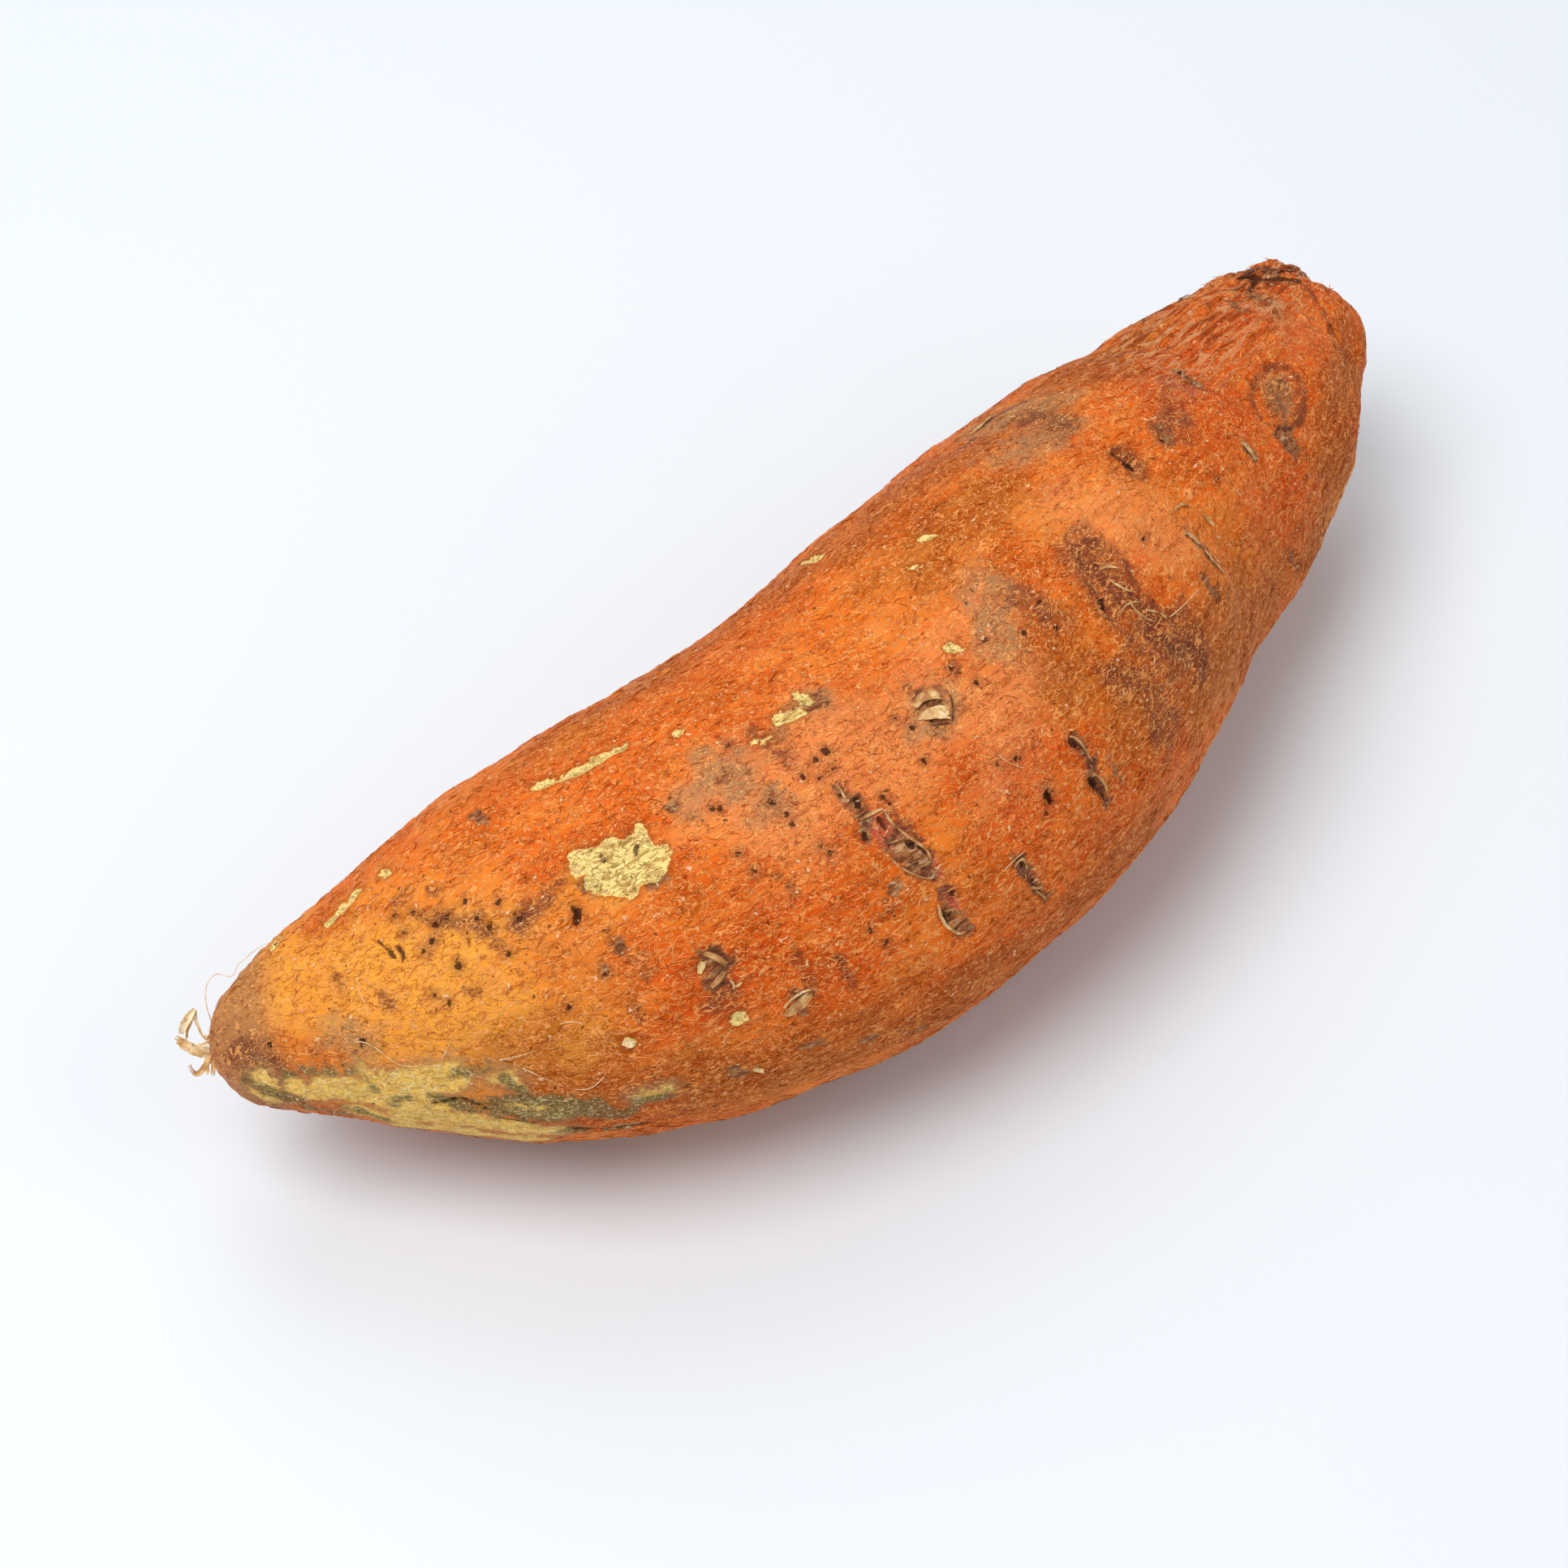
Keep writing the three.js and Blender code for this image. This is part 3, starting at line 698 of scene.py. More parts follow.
layerSet = [  # colour, what it reads, where it starts and where it is full, and its share or the mask for it
    ("deep", "mottle", 0.0, 0.6, 0.60),
    ("light", "mottle", 0.0, -0.6, 0.55),
    ("amberAndHighlight", "cloud", 0.0, 0.5, 0.14),
    ("ember", "cloud", 0.0, -0.5, 0.22),
    # painted highlight: the amber marks near the root tip also brighten it where it catches the light
    ("amberAndHighlight", "amberAndHighlight", 0, 1, 0.85),
    # painted sheen: the pale pink of the blush marks also stands in for the soft shine across the middle of
    # the root
    ("blushAndSheen", "blushAndSheen", 0, 1, 0.52),
    ("ember", "ember", 0, 1, 0.55),
    ("ember", "crown", 0, 1, 0.30),
    # painted shade: this brown layer also darkens the edges of the root, besides its brown tone
    ("umberAndShade", "umberAndShade", 0, 1, 0.70),
    ("deep", "streak", 0.52, 0.70, 0.45),
    ("light", "streak", 0.48, 0.30, 0.35),
    ("deep", "speck", 0.52, 0.72, 0.50),
    ("light", "speck", 0.48, 0.28, 0.42),
    ("tip", "tip", 0, 1, 0.75),
    ("ash", "ash", 0, 1, "patches"),
    ("stain", "stain", 0, 1, "patches"),
    ("stain", "pit", -1.2, 0.0, 0.40),
    ("raw", "raw", -0.5, 0.4, 0.88),
    ("bruise", "bruise", -0.6, 0.5, "bruised"),
    ("darkFibre", "strandB", 0.065, 0.028, "darkBits"),   # curly fibres of the outermost skin
    ("paleFibre", "strandA", 0.062, 0.028, "paleBits"),
    ("paleFibre", "strandC", 0.062, 0.028, "finePaleBits"),
    ("ridgeShade", "crest", 0.09, 0.18, "ridgeValleys"),  # painted shade in the valleys between the ridges of the drying stem end, in deep red-brown
    ("ridgeLine", "crest", 0.05, 0.02, "ridgeLines"),
    ("ash", "band", -2.4, -0.2, 0.55),
    ("band", "band", -0.5, 0.5, 0.92),
    ("bandShade", "scurf", 0.52, 0.66, "onBand"),
    ("bandPale", "strandA", 0.090, 0.045, "onBand"),
    ("bandShade", "strandB", 0.070, 0.030, "onBand"),
    ("crust", "crust", -0.6, 0.5, 0.80),
    ("bandPale", "strandC", 0.060, 0.025, "onCrust"),
    ("pit", "strandB", 0.050, 0.020, "onCrust"),
    ("cork", "cork", -0.35, 0.35, 0.78),
    ("corkPale", "scurf", 0.50, 0.60, "onCork"),
    ("bruise", "scurf", 0.48, 0.38, "onCork"),
    ("bruise", "rim", -0.5, 0.5, 0.70),
    ("umberAndShade", "peel", -1.0, -0.1, 0.45),
    ("peel", "peel", -0.14, 0.14, 1.0),
    ("peelShade", "scurf", 0.50, 0.64, "onPeel"),
    ("moss", "strandB", 0.070, 0.030, "onPeel"),
    ("pit", "pit", -0.03, 0.15, 0.88),
    ("pit", "crack", -0.22, 0.08, 0.85),
    ("pit", "pinhole", 0.80, 0.84, 0.70),
    ("fleck", "pinhole", 0.23, 0.19, 0.72),
    ("paleFibre", "fibre", 0.0, 1.0, 0.50),   # fibres take the colour of the skin, paler or darker
    ("darkFibre", "fibre", 0.0, -1.0, 0.50),
]
heightSet = {  # how much each pattern or layer stands up, before the bump's own distance
    "speck": 0.6,
    "streak": 0.5,
    "paleFibre strandA": 0.7,
    "paleFibre strandC": 0.6,
    "ridgeLine crest": 1.7,
    "bandShade scurf": -0.9,
    "corkPale scurf": 1.6,
    "bruise scurf": -1.4,
    "peelShade scurf": -0.9,
    "pit pit": -1.0,
    "pit crack": -1.0,
    "pit pinhole": -0.7,
    "fleck pinhole": 0.8,
}


finishSet = {
    "fibreClouds": 0.14,   # more fibres in some places than in others
    "bump": (0.8, 0.26),   # strength, depth in mm
    "roughness": (0.48, 0.64),
    "ior": 1.45,
    "specular": 0.06,
}


def skinMaterial():
    material, tree = newMaterial("dry sweet potato skin")
    value = {}
    for name in [*fields, "fibre"]:
        value[name] = addNode(tree, "Attribute", output=2, attribute_name=name)
    straight = addNode(tree, "Attribute", output=1, attribute_name="straight")
    for number, (name, (long, wide, detail, roughness, distortion)) in enumerate(patternSet.items()):
        stretch = {
            "Vector": straight,
            "Location": [3.1 * number] * 3,
            "Scale": (1 / (long * mm), 1 / (wide * mm), 1 / (wide * mm)),
        }
        value[name] = addNode(tree, "TexNoise", {
            "Vector": addNode(tree, "Mapping", stretch),
            "Scale": 1.0,
            "Detail": detail,
            "Roughness": roughness,
            "Distortion": distortion,
        })
    for name in ("crest", "strandA", "strandB", "strandC"):  # lines run where the noise crosses its middle
        above = addNode(tree, "Math", {0: value[name], 1: 0.5}, operation="SUBTRACT")
        value[name] = addNode(tree, "Math", {0: above}, operation="ABSOLUTE")
    uneven = {0: value["cloud"], 1: finishSet["fibreClouds"], 2: value["breaks"]}
    value["breaks"] = addNode(tree, "Math", uneven, operation="MULTIPLY_ADD")
    ragged = addNode(tree, "Math", {0: value["ragged"], 1: 0.5}, operation="SUBTRACT")
    for name, wander in edgeSet.items():
        moved = {0: ragged, 1: wander, 2: value[name]}
        value[name] = addNode(tree, "Math", moved, operation="MULTIPLY_ADD")
    for name, (source, low, high, least, most) in maskSet.items():
        limits = {0: value[source], 1: low, 2: high, 3: least, 4: most}
        value[name] = addNode(tree, "MapRange", limits, interpolation_type="SMOOTHSTEP")
    colour = colours["base"]
    for code, source, low, high, share in layerSet:
        limits = {0: value[source], 1: low, 2: high, 3: 0.0, 4: value.get(share, share)}
        amount = addNode(tree, "MapRange", limits, interpolation_type="SMOOTHSTEP")
        colour = addNode(tree, "Mix", {0: amount, 6: colour, 7: colours[code]}, 2, data_type="RGBA")
        value[code + " " + source] = amount
    height = 0.0
    for name, weight in heightSet.items():
        raised = {0: value[name], 1: weight, 2: height}
        height = addNode(tree, "Math", raised, operation="MULTIPLY_ADD")
    strength, depth = finishSet["bump"]
    relief = {"Strength": strength, "Distance": depth * mm, "Height": height}
    smooth, rough = finishSet["roughness"]
    shader = addNode(tree, "BsdfPrincipled", {
        "Base Color": colour,
        "Roughness": addNode(tree, "MapRange", {0: value["mottle"], 1: -0.6, 2: 0.6, 3: smooth, 4: rough}),
        "IOR": finishSet["ior"],
        "Specular IOR Level": finishSet["specular"],
        "Normal": addNode(tree, "Bump", relief),
    })
    addNode(tree, "OutputMaterial", {"Surface": shader})
    return material


drySkin = skinMaterial()
skin.data.materials.clear()
skin.data.materials.append(drySkin)
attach(skin, "root")
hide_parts("sweet_potato")
print("skin material made")


# Fibres: one short strand, pointed at both ends, copied thousands of times and curled on the skin

fibreSet = {
    "count": 8000,
    "length": (0.8, 2.6),
    "thick": (0.08, 0.16),
    "lift": 0.06,
    "curl": 2.2,
    "spread": 0.55,
    "seed": 5,
    "gap": 0.5,  # how far they stay from a scar, patch or crack
}


def strandModel():
    # a three-sided strand of length 1 along X with three rings and two points
    selectOnly()
    upright = {"radius": 0.5, "depth": 0.5, "rotation": (0, pi / 2, 0)}
    bpy.ops.mesh.primitive_cylinder_add(vertices=3, end_fill_type="TRIFAN", **upright)
    strand = bpy.context.object
    bpy.ops.object.transform_apply(location=False, rotation=True, scale=False)
    editAll(strand)
    bpy.ops.mesh.bisect(plane_co=(0, 0, 0), plane_no=(1, 0, 0))
    bpy.ops.mesh.select_all(action="DESELECT")
    bpy.ops.object.mode_set(mode="OBJECT")
    for end in (-1, 1):
        for vertex in strand.data.vertices:
            onAxis = abs(vertex.co.y) < 1e-4 and abs(vertex.co.z) < 1e-4
            vertex.select = onAxis and vertex.co.x * end > 0
        bpy.ops.object.mode_set(mode="EDIT")
        bpy.ops.transform.translate(value=(0.25 * end, 0, 0))
        bpy.ops.mesh.select_all(action="DESELECT")
        bpy.ops.object.mode_set(mode="OBJECT")
    points = readPoints(strand.data)
    faces = [list(p.vertices) for p in strand.data.polygons]
    bpy.data.objects.remove(strand)
    return points, faces


strandPoints, strandFaces = strandModel()
stringSet = {  # longer strings of skin along the drying stem end
    "count": 480,
    "length": (2.5, 7.0),
    "thick": (0.12, 0.22),
    "lift": 0.05,
    "curl": 0.5,
    "spread": 0.09,
    "seed": 8,
    "tone": 0.35,
    "ridge": 0.35,  # they grow where the ridges are stronger than this
}
strandSet = {"lowest": 1.5, "leastCurl": 0.01, "liftShare": (0.3, 1.6), "flatness": 0.8}  # of both kinds


def growFibres(name, tone, settings, where):
    # tone 1 is paler than the skin and -1 darker
    draw = np.random.default_rng(settings["seed"])
    count = settings["count"]
    ground = np.flatnonzero(where & (skinPoints[:, 2] > strandSet["lowest"] * mm))
    source = draw.choice(ground, count, replace=False)
    normal, along = skinNormals[source], skinAlong[source]
    along = unit(along - normal * (along * normal).sum(1, keepdims=True))
    around = np.cross(normal, along)
    length = draw.uniform(*settings["length"], count) * mm
    thick = draw.uniform(*settings["thick"], count) * mm
    heading = draw.normal(0, settings["spread"], count)
    curl = draw.normal(0, settings["curl"], count)
    curl[np.abs(curl) < strandSet["leastCurl"]] = strandSet["leastCurl"]
    share = strandPoints[:, 0][None, :]
    turn = curl[:, None] * share
    onward = np.sin(turn) / curl[:, None] * length[:, None]
    aside = (1 - np.cos(turn)) / curl[:, None] * length[:, None]
    sideways = strandPoints[:, 1][None, :] * thick[:, None]
    onward = onward - np.sin(turn) * sideways
    aside = aside + np.cos(turn) * sideways
    height = (settings["lift"] * np.cos(pi * share) * mm * draw.uniform(*strandSet["liftShare"], (count, 1))
              + strandPoints[:, 2][None, :] * thick[:, None] * strandSet["flatness"])
    c, s = np.cos(heading)[:, None], np.sin(heading)[:, None]
    points = (skinPoints[source][:, None]
              + (onward * c - aside * s)[..., None] * along[:, None]
              + (onward * s + aside * c)[..., None] * around[:, None]
              + height[..., None] * normal[:, None])
    size = len(strandPoints)
    faces = [[corner + i * size for corner in face] for i in range(count) for face in strandFaces]
    mesh = bpy.data.meshes.new(name)
    mesh.from_pydata(keepInBox(points.reshape(-1, 3)), [], faces)
    mesh.validate()
    piece = bpy.data.objects.new(name, mesh)
    bpy.context.scene.collection.objects.link(piece)
    writeFields(piece, np.repeat(source, size), tone)
    mesh.materials.append(drySkin)
    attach(piece, "root")
    print(name, len(mesh.polygons), "faces")


bare = np.full(len(skinPoints), True)  # where no scar, patch or crack is
for kind in ("peel", "band", "crust", "cork", "raw", "rim", "crack", "smooth"):
    bare &= marks[kind] < -fibreSet["gap"]
growFibres("pale_fibres", 1.0, fibreSet, bare)
growFibres("dark_fibres", -1.0, {**fibreSet, "seed": fibreSet["seed"] + 1}, bare)
growFibres("stem_end_strings", stringSet["tone"], stringSet, bare & (fields["ridge"] > stringSet["ridge"]))


# Thin dry things on the skin: rootlets at the tip, torn bits of skin and root hairs

ribbonSet = {
    "cellsAlong": 16,
    "cellsAcross": 6,
    "thick": 0.12,
    "fray": 0.15,
    "wave": 0.16,
    "waveSize": 1.1,
    "crease": 50,      # faces that meet at a sharper angle than this look creased
    "tuftCup": 0.5,
    "tuftSeed": 100,
    "flakeSeed": 200,
    "flakeCup": 0.25,
    "flakeTwist": (0, 12),
    "flakeGap": 0.08,  # between the skin and a flake
}


def drawRibbon(places, widths, facing, twist, cup, tone, seed):
    # a thin strip along given places, its flat side towards facing, cupped across, its ends torn
    selectOnly()
    cells = {"x_subdivisions": ribbonSet["cellsAlong"], "y_subdivisions": ribbonSet["cellsAcross"]}
    bpy.ops.mesh.primitive_grid_add(size=2, **cells)
    strip = bpy.context.object
    draw = np.random.default_rng(seed)
    flat = readPoints(strip.data)
    across = flat[:, 1]
    lines, line = np.unique(across.round(3), return_inverse=True)
    share = (flat[:, 0] + 1) / 2
    torn = np.clip(share, 0, 1 - np.abs(draw.normal(0, ribbonSet["fray"], len(lines)))[line.ravel()])
    given = np.linspace(0, 1, len(places))
    order = min(len(places) - 1, 4)
    curves = [np.polynomial.Polynomial.fit(given, column, order) for column in np.array(places).T]
    middle = np.stack([curve(torn) for curve in curves], 1)
    heading = unit(np.stack([curve.deriv()(torn) for curve in curves], 1))
    side = unit(np.cross(heading, facing))
    outward = np.cross(side, heading)
    turn = np.radians(np.interp(share, (0, 1), twist))[:, None]
    side, outward = side * np.cos(turn) + outward * np.sin(turn), outward * np.cos(turn) - side * np.sin(turn)
    half = np.interp(share, np.linspace(0, 1, len(widths)), widths) / 2 * mm
    points = middle + side * (across * half)[:, None] + outward * (cup * across ** 2 * half)[:, None]
    wave = noiseAt(points, ribbonSet["waveSize"], seed % 17 + 50, 2) * ribbonSet["wave"] * mm
    strip.data.vertices.foreach_set("co", keepInBox(points + outward * wave[:, None]).ravel())
    applyModifier(strip, "SOLIDIFY", thickness=ribbonSet["thick"] * mm, offset=0)
    writeValue(strip, "tone", tone)
    return strip


hairShape = {"taper": 0.5, "order": 4, "cuts": 5, "facets": 1}


def drawHair(places, thick, tone):
    # a round hair through given places, made a mesh
    selectOnly()
    bpy.ops.curve.primitive_nurbs_path_add()
    hair = bpy.context.object
    hair.data.splines.clear()
    spline = hair.data.splines.new("NURBS")
    spline.points.add(len(places) - 1)
    for i, (point, place) in enumerate(zip(spline.points, places)):
        point.co = (*place, 1)
        point.radius = 1 - hairShape["taper"] * i / (len(places) - 1)
    spline.order_u = min(hairShape["order"], len(places))
    spline.use_endpoint_u = True
    spline.resolution_u = hairShape["cuts"]
    hair.data.bevel_depth = thick / 2 * mm
    hair.data.bevel_resolution = hairShape["facets"]
    hair.data.use_fill_caps = True
    bpy.ops.object.convert(target="MESH")
    writeValue(hair, "tone", tone)
    return hair


def joinInto(name, pieces):
    selectOnly(*pieces)
    bpy.ops.object.join()
    whole = bpy.context.object
    bpy.ops.object.transform_apply(location=True, rotation=True, scale=True)
    whole.name = whole.data.name = name
    whole.data.materials.clear()
    whole.data.materials.append(driedSkin)
    editAll(whole)
    bpy.ops.mesh.normals_make_consistent(inside=False)
    bpy.ops.object.mode_set(mode="OBJECT")
    bpy.ops.object.shade_smooth_by_angle(angle=radians(ribbonSet["crease"]))
    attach(whole, "root")
    print(name, len(whole.data.polygons), "faces")


driedSet = {
    "cream": "#FFF1D0",
    "browns": (("#EBC487", 0.62, 0.95), ("#B87E48", 0.95, 1.30), ("#6B3A20", 1.30, 1.65)),  # starts, is full
    "crease": "#7A4A28",
    "patch": 1.4,       # size of a patch and of the grain
    "grain": 0.4,
    "patchShare": 1.3,
    "bumpDepth": 0.12,
}


def driedSkinMaterial():
    # papery dried skin and rootlets: bleached cream outside, straw to brown where the bark still holds
    material, tree = newMaterial("papery dried skin")
    place = addNode(tree, "TexCoord", output=3)
    tone = addNode(tree, "Attribute", output=2, attribute_name="tone")
    patches = addNode(tree, "TexNoise", {"Vector": place, "Scale": 1 / (driedSet["patch"] * mm), "Detail": 3})
    grain = addNode(tree, "TexNoise", {"Vector": place, "Scale": 1 / (driedSet["grain"] * mm), "Detail": 3})
    browned = {0: patches, 1: driedSet["patchShare"], 2: tone}
    mottled = addNode(tree, "Math", browned, operation="MULTIPLY_ADD")
    colour = driedSet["cream"]
    for code, low, high in driedSet["browns"]:
        amount = addNode(tree, "MapRange", {0: mottled, 1: low, 2: high})
        colour = addNode(tree, "Mix", {0: amount, 6: colour, 7: code}, 2, data_type="RGBA")
    crease = addNode(tree, "MapRange", {0: grain, 1: 0.56, 2: 0.70, 4: 0.55})
    colour = addNode(tree, "Mix", {0: crease, 6: colour, 7: driedSet["crease"]}, 2, data_type="RGBA")
    bump = addNode(tree, "Bump", {"Strength": 0.6, "Distance": driedSet["bumpDepth"] * mm, "Height": grain})
    shader = addNode(tree, "BsdfPrincipled", {
        "Base Color": colour,
        "Roughness": 0.62,
        "IOR": 1.45,
        "Specular IOR Level": 0.3,
        "Normal": bump,
    })
    addNode(tree, "OutputMaterial", {"Surface": shader})
    return material


driedSkin = driedSkinMaterial()


def tipPlace(across, down, ahead):
    # a place near the root tip under this pixel, this far ahead of the plane through the tip
    ray = rayTo(across, down)
    reach = (tip - cameraPlace).dot(towardsCamera) / ray.dot(towardsCamera)
    return np.array(cameraPlace + ray * reach + towardsCamera * ahead * mm)


# tone (0 cream to 1 brown), widths, twist at both ends in degrees, places as pixel and millimetres ahead
tuftSet = [
    (0.05, (0.5, 1.1, 1.0, 0.6), (0, 25), (241, 1243, 1.0), (234, 1253, 1.3), (227, 1265, 1.2),
     (225, 1276, 0.8)),
    (0.25, (0.5, 0.45, 0.35), (0, 60), (241, 1245, 0.6), (235, 1259, 0.4), (231, 1270, 0.5),
     (232, 1284, 0.6)),
    (0.10, (0.5, 0.35, 0.35, 0.5), (20, 50), (241, 1244, 0.9), (243, 1259, 0.6), (248, 1272, 0.4),
     (254, 1281, 0.0), (264, 1288, -0.6)),
    (0.35, (0.9, 1.25, 1.3, 1.1, 0.8), (-15, 25), (267, 1294, -0.8), (252, 1296, 0.4), (240, 1291, 0.9),
     (226, 1283, 1.0), (211, 1275, 0.9)),
    (0.10, (0.6, 0.4, 0.4), (40, 70), (250, 1301, 0.2), (236, 1296, 0.9), (222, 1287, 1.2)),
    (0.40, (0.6, 0.7, 0.8, 0.6), (0, 50), (260, 1300, -0.2), (250, 1317, 0.6), (242, 1322, 0.6),
     (235, 1311, 0.3)),
    (0.35, (0.8, 0.8, 0.6), (10, -20), (267, 1290, -0.6), (257, 1306, 0.6), (257, 1325, 0.7)),
    (0.30, (0.6, 0.6, 0.5), (0, 30), (266, 1292, -0.2), (264, 1310, 0.5), (262, 1328, 0.3)),
    (0.00, (0.6, 0.8, 0.5), (20, 60), (268, 1284, -0.6), (257, 1277, 0.6), (250, 1273, 0.9)),
    (0.05, (0.8, 0.9, 0.5), (60, 0), (268, 1280, -0.6), (260, 1283, 0.7), (250, 1288, 0.9)),
    (0.20, (0.6, 0.7, 0.4), (-40, 30), (267, 1297, -0.4), (254, 1292, 0.9), (246, 1285, 0.9)),
    (0.00, (0.5, 0.6, 0.4), (0, 90), (268, 1276, -0.6), (260, 1274, 0.5), (254, 1280, 1.2)),
    (0.60, (0.9, 0.8, 0.5), (0, 0), (270, 1288, -1.0), (262, 1292, -0.6), (254, 1298, -0.4)),
    (0.50, (0.8, 0.8, 0.5), (0, 40), (270, 1300, -1.6), (262, 1304, -1.4), (256, 1312, -1.2)),
]
strips = []
for number, (tone, widths, twist, *pixels) in enumerate(tuftSet):
    places = [tipPlace(*pixel) for pixel in pixels]
    cup, seed = ribbonSet["tuftCup"], ribbonSet["tuftSeed"] + number
    strips.append(drawRibbon(places, widths, np.array(towardsCamera), twist, cup, tone, seed))
joinInto("root_tuft", strips)

# Torn bits of skin: tone, widths along it, how far its far end stands up, and its pixels, across and down
flakeSet = [
    (0.36, (0.4, 1.6, 2.2, 2), 0.35, 1132, 886, 1144, 882, 1158, 880, 1172, 882),
    (0.55, (0.8, 1.5, 1.3, 0.7), 0.25, 1128, 872, 1138, 860, 1152, 858, 1166, 862),
    (0.95, (0.25, 0.3, 0.25), 0.45, 1170, 856, 1173, 872, 1172, 892),
    (0.9, (0.25, 0.25, 0.2), 0.4, 1146, 891, 1158, 893, 1172, 892),
    (0.6, (0.4, 1.3, 1.4, 0.6), 0.3, 966, 1249, 976, 1244, 990, 1232, 1002, 1219),
    (0.36, (0.25, 0.3, 0.2), 0.5, 966, 1242, 980, 1226, 1000, 1217),
    (0.24, (0.7, 1, 0.8), 0.3, 767, 1284, 774, 1285, 782, 1287),
    (0.32, (0.5, 0.6, 0.4), 0.25, 929, 1317, 935, 1318, 942, 1319),
    (0.42, (0.5, 1, 0.6), 0.3, 862, 1200, 864, 1190, 868, 1182),
    (0.6, (0.5, 0.9, 0.6), 0.25, 868, 1175, 882, 1180, 896, 1190),
    (0.65, (0.5, 0.8, 0.5), 0.25, 876, 1216, 886, 1206, 892, 1196),
    (0.42, (0.2, 0.3, 0.2), 0.3, 899, 1207, 903, 1212, 904, 1220),
    (0.42, (0.2, 0.3, 0.2), 0.3, 914, 1210, 909, 1214, 905, 1213),
    (0.42, (0.5, 0.9, 0.7, 0.4), 0.25, 1529, 545, 1535, 551, 1540, 559, 1546, 568),
    (0.55, (0.3, 0.5, 0.3), 0.25, 1446, 630, 1456, 622, 1466, 627),
    (0.5, (0.4, 0.7, 0.4), 0.25, 1482, 635, 1488, 641, 1494, 649),
    (0.42, (0.3, 0.6, 0.5, 0.3), 0.25, 1459, 657, 1466, 660, 1472, 666, 1478, 672),
    (0.55, (0.3, 0.45, 0.3), 0.25, 1484, 678, 1494, 692, 1506, 706),
    (0.5, (0.25, 0.5, 0.3), 0.2, 1060, 1010, 1074, 1002, 1088, 996),
    (0.5, (0.3, 0.4, 0.25), 0.2, 1088, 998, 1095, 1010, 1104, 1023),
    (0.6, (0.25, 0.35, 0.25), 0.2, 1100, 1014, 1122, 1032, 1140, 1045, 1148, 1062),
    (0.6, (0.25, 0.3, 0.25), 0.2, 1100, 1060, 1118, 1074, 1140, 1082, 1149, 1076),
    (0.55, (0.2, 0.35, 0.2), 0.2, 1030, 966, 1040, 982, 1050, 1000),
    (0.38, (0.3, 0.5, 0.4, 0.25), 0.25, 1156, 1115, 1160, 1132, 1172, 1146, 1186, 1149),
    (0.6, (0.2, 0.35, 0.25), 0.2, 1164, 1122, 1176, 1120, 1184, 1128),
    (0.6, (0.25, 0.4, 0.3), 0.2, 1250, 1068, 1260, 1058, 1266, 1072),
    (0.6, (0.25, 0.4, 0.3), 0.2, 1262, 1078, 1272, 1094, 1288, 1088),
    (0.65, (0.2, 0.35, 0.2), 0.2, 1276, 1098, 1284, 1104, 1290, 1110),
    (0.55, (0.2, 0.35, 0.2), 0.2, 1318, 908, 1330, 914, 1346, 940),
    (0.6, (0.25, 0.35, 0.2), 0.2, 1346, 952, 1360, 964, 1366, 986),
    (0.58, (0.3, 0.5, 0.3), 0.25, 1354, 702, 1366, 699, 1378, 703),
    (0.52, (0.2, 0.35, 0.2), 0.3, 1366, 712, 1376, 722, 1394, 730),
    (0.6, (0.2, 0.35, 0.2), 0.25, 1392, 740, 1402, 756, 1424, 768),
    (0.58, (0.2, 0.3, 0.2), 0.25, 1380, 757, 1390, 744, 1408, 742),
    (0.75, (0.15, 0.25, 0.2), 0.2, 1352, 742, 1358, 758, 1374, 766),
    (0.75, (0.2, 0.3, 0.2), 0.2, 1334, 716, 1348, 726, 1352, 736),
    (0.5, (0.15, 0.25, 0.2), 0.25, 1412, 752, 1428, 756, 1436, 764),
    (1.2, (0.5, 0.9, 0.6), 0.3, 1530, 342, 1545, 334, 1562, 330),
    (1.15, (0.6, 1, 0.8), 0.2, 1556, 334, 1578, 335, 1598, 338),
    (1.2, (0.4, 0.6, 0.4), 0.3, 1598, 332, 1602, 338, 1600, 350),
    (0.7, (0.2, 0.3, 0.2), 0.2, 1500, 362, 1520, 358, 1536, 350),
    (0.7, (0.2, 0.3, 0.2), 0.2, 1514, 380, 1536, 370, 1548, 362),
    (0.9, (0.4, 0.6, 0.3), 0.6, 1408, 400, 1414, 395, 1421, 391),
    (0.9, (0.4, 0.5, 0.3), 0.6, 1452, 374, 1458, 369, 1466, 367),
    (0.9, (0.4, 0.5, 0.3), 0.6, 1480, 362, 1488, 358, 1496, 355),
    (0.8, (0.3, 0.5, 0.3), 0.5, 1622, 345, 1630, 352, 1634, 360),
    (0.6, (0.5, 0.8, 0.4), 0.4, 1196, 536, 1212, 524, 1226, 512),
]
clearOfFloor = hidden[skinPoints[hidden, 2] > hiddenSet["lowest"] * mm]
hiddenFlakeSet = {
    "count": 26,
    "seed": 31,
    "length": (1.5, 5.0),
    "width": (0.3, 1.6),
    "ends": 0.6,  # width of the ends as a share of the middle's
    "lift": (0.2, 0.5),
    "tone": (0, 0.7),
    "firstSeed": 300,
}
strips = []


def addFlake(places, widths, facing, lift, tone, seed):
    # a torn bit of skin that lies on it at the first place and stands up towards the last one
    gaps = ribbonSet["flakeGap"] + lift * np.arange(len(places)) / len(places)
    places = [place + facing * gap * mm for place, gap in zip(places, gaps)]
    twist, cup = ribbonSet["flakeTwist"], ribbonSet["flakeCup"]
    strips.append(drawRibbon(places, widths, facing, twist, cup, tone, seed))


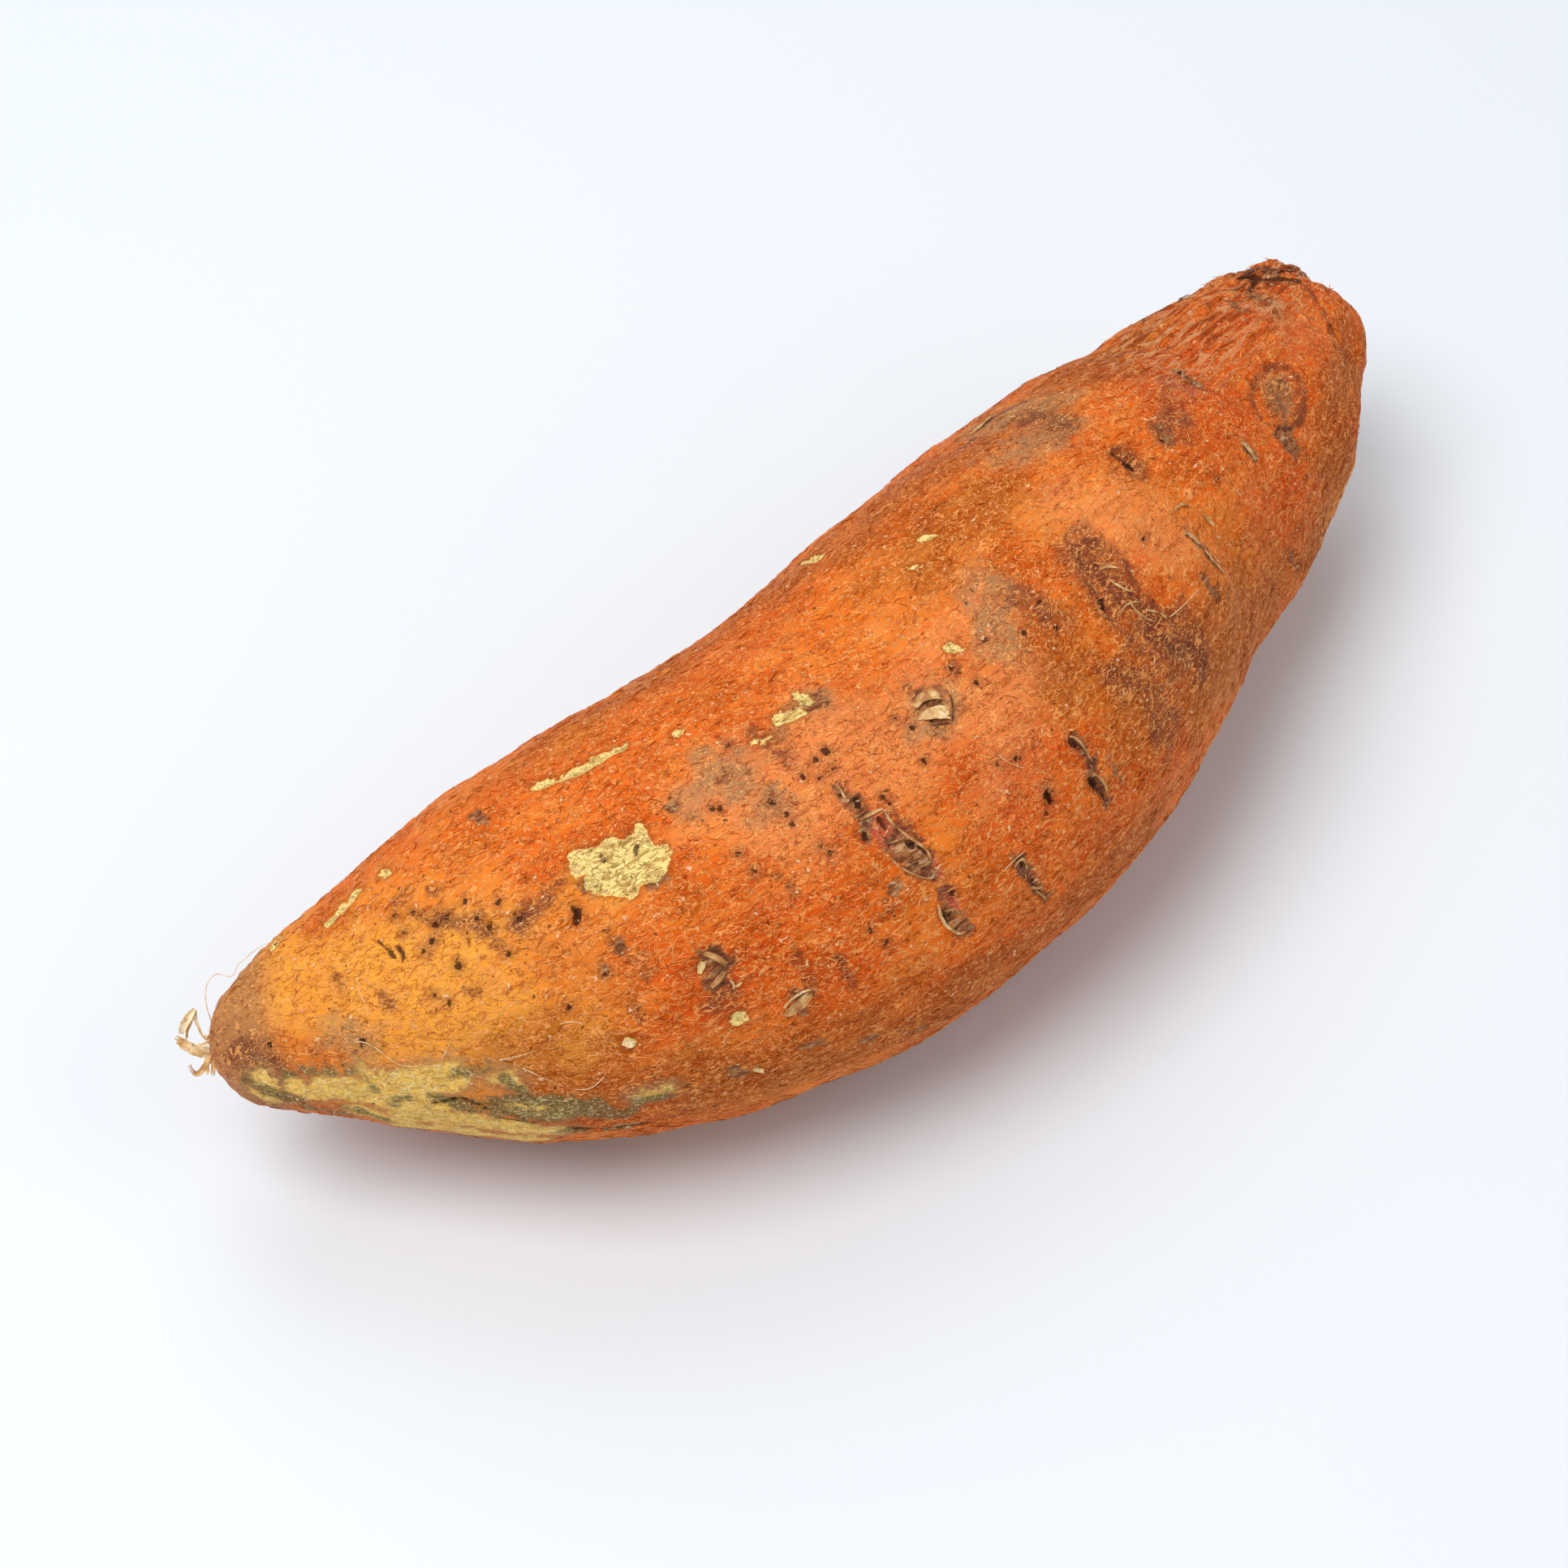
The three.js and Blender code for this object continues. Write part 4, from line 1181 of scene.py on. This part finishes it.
for number, (tone, widths, lift, *numbers) in enumerate(flakeSet):
    places = placesUnder(numbers)
    facing = np.array(surface.find_nearest(places[len(places) // 2])[1])
    addFlake(places, widths, facing, lift, tone, ribbonSet["flakeSeed"] + number)
draw = np.random.default_rng(hiddenFlakeSet["seed"])
for number, index in enumerate(draw.choice(clearOfFloor, hiddenFlakeSet["count"], replace=False)):
    facing, along = skinNormals[index], skinAlong[index]
    heading = along * draw.normal() + np.cross(facing, along) * draw.normal()
    heading *= draw.uniform(*hiddenFlakeSet["length"]) * mm / np.linalg.norm(heading)
    width, lift = draw.uniform(*hiddenFlakeSet["width"]), draw.uniform(*hiddenFlakeSet["lift"])
    places = [np.array(surface.find_nearest(skinPoints[index] + heading * s)[0]) for s in (-0.5, 0, 0.5)]
    end, tone = hiddenFlakeSet["ends"] * width, draw.uniform(*hiddenFlakeSet["tone"])
    addFlake(places, (end, width, end), facing, lift, tone, hiddenFlakeSet["firstSeed"] + number)
joinInto("skin_flakes", strips)

# Root hairs: thickness and places; those of three numbers run free in front of the tip's plane
hairSet = [
    (0.16, (264, 1268, -0.8), (256, 1248, 0.2), (252, 1226, 0.2), (256, 1208, 0.2), (268, 1197, 0.2),
     (281, 1204, 0.2), (290, 1202, 0.2), (292, 1188, 0.1), (301, 1183, 0.0), (313, 1171, 0.0),
     (325, 1163, 0.0), (340, 1160, -1.0)),
    (0.16, (440, 1283), (454, 1284), (470, 1296), (486, 1310), (500, 1315), (522, 1314), (543, 1313)),
    (0.14, (466, 1338), (478, 1326), (492, 1316)),
    (0.15, (616, 1306), (640, 1302), (662, 1294)),
    (0.14, (644, 1316), (690, 1338), (720, 1347), (737, 1338), (748, 1320)),
    (0.14, (545, 1304), (553, 1288), (556, 1284)),
    (0.15, (1442, 760), (1465, 742), (1480, 722), (1489, 710)),
    (0.13, (440, 1204), (442, 1224), (450, 1236)),
    (0.13, (690, 1262), (706, 1256), (718, 1262)),
    (0.13, (1230, 930), (1245, 944), (1262, 946)),
    (0.14, (1238, 1072), (1252, 1056), (1262, 1050)),
]
hairTone = 0.25
hiddenHairSet = {
    "count": 14,
    "seed": 33,
    "steps": 5,
    "step": 2.2,
    "thick": 0.15,
    "gap": 0.6,     # from the skin to the hair's middle, in thicknesses
    "wander": 0.7,
    "tone": 0.35,
}
hairs = []
for thick, *pixels in hairSet:
    places = [tipPlace(*pixel) if len(pixel) == 3 else placeUnder(*pixel) for pixel in pixels]
    places = [p + np.array(towardsCamera) * thick * mm for p in places if p is not None]
    hairs.append(drawHair(places, thick, hairTone))
draw = np.random.default_rng(hiddenHairSet["seed"])
for index in draw.choice(clearOfFloor, hiddenHairSet["count"], replace=False):
    spot, places = skinPoints[index], []
    heading = skinAlong[index] * draw.choice([-1, 1])
    for _ in range(hiddenHairSet["steps"]):
        found, normal = surface.find_nearest(spot)[:2]
        gap = hiddenHairSet["thick"] * hiddenHairSet["gap"] * mm
        places.append(np.array(found) + np.array(normal) * gap)
        heading = heading + hiddenHairSet["wander"] * np.cross(normal, heading) * draw.normal()
        spot = np.array(found) + unit(heading) * hiddenHairSet["step"] * mm
    hairs.append(drawHair(places, hiddenHairSet["thick"], hiddenHairSet["tone"]))
joinInto("root_hairs", hairs)


# Studio: a plain pale floor and soft light from above and behind

studioSet = {"floor": 3.0, "worldStrength": 0.38, "floorColour": "#E9EFF5"}
selectOnly()
bpy.ops.mesh.primitive_plane_add(size=studioSet["floor"], location=(0, 0, 0))
floor = bpy.context.object
floor.name = "floor"
paper, tree = newMaterial("matt white board")
finish = {"Base Color": studioSet["floorColour"], "Roughness": 0.9, "Specular IOR Level": 0.1}
addNode(tree, "OutputMaterial", {"Surface": addNode(tree, "BsdfPrincipled", finish)})
floor.data.materials.append(paper)

lightSet = [  # azimuth, elevation, distance (mm), size (mm), power (W)
    ("keyLight", -95, 64, 1100, 700, 7.6),
    ("backLight", 150, 55, 1100, 800, 2.6),
    ("fillLight", 30, 40, 1300, 900, 2.2),
]
for name, azimuth, elevation, distance, size, power in lightSet:
    a, e = radians(azimuth), radians(elevation)
    direction = Vector((sin(a) * cos(e), -cos(a) * cos(e), sin(e)))
    bpy.ops.object.light_add(type="AREA", location=direction * distance * mm,
                             rotation=direction.to_track_quat("Z", "Y").to_euler())
    light = bpy.context.object
    light.name = name
    light.data.shape = "DISK"
    light.data.size = size * mm
    light.data.energy = power

world = bpy.data.worlds.new("soft white room")
bpy.context.scene.world = world
world.use_nodes = True
world.node_tree.nodes.clear()
glow = {"Color": "#FFFFFF", "Strength": studioSet["worldStrength"]}
sky = addNode(world.node_tree, "Background", glow)
addNode(world.node_tree, "OutputWorld", {"Surface": sky})
bpy.context.scene.view_settings.view_transform = "Standard"
print("studio lit")
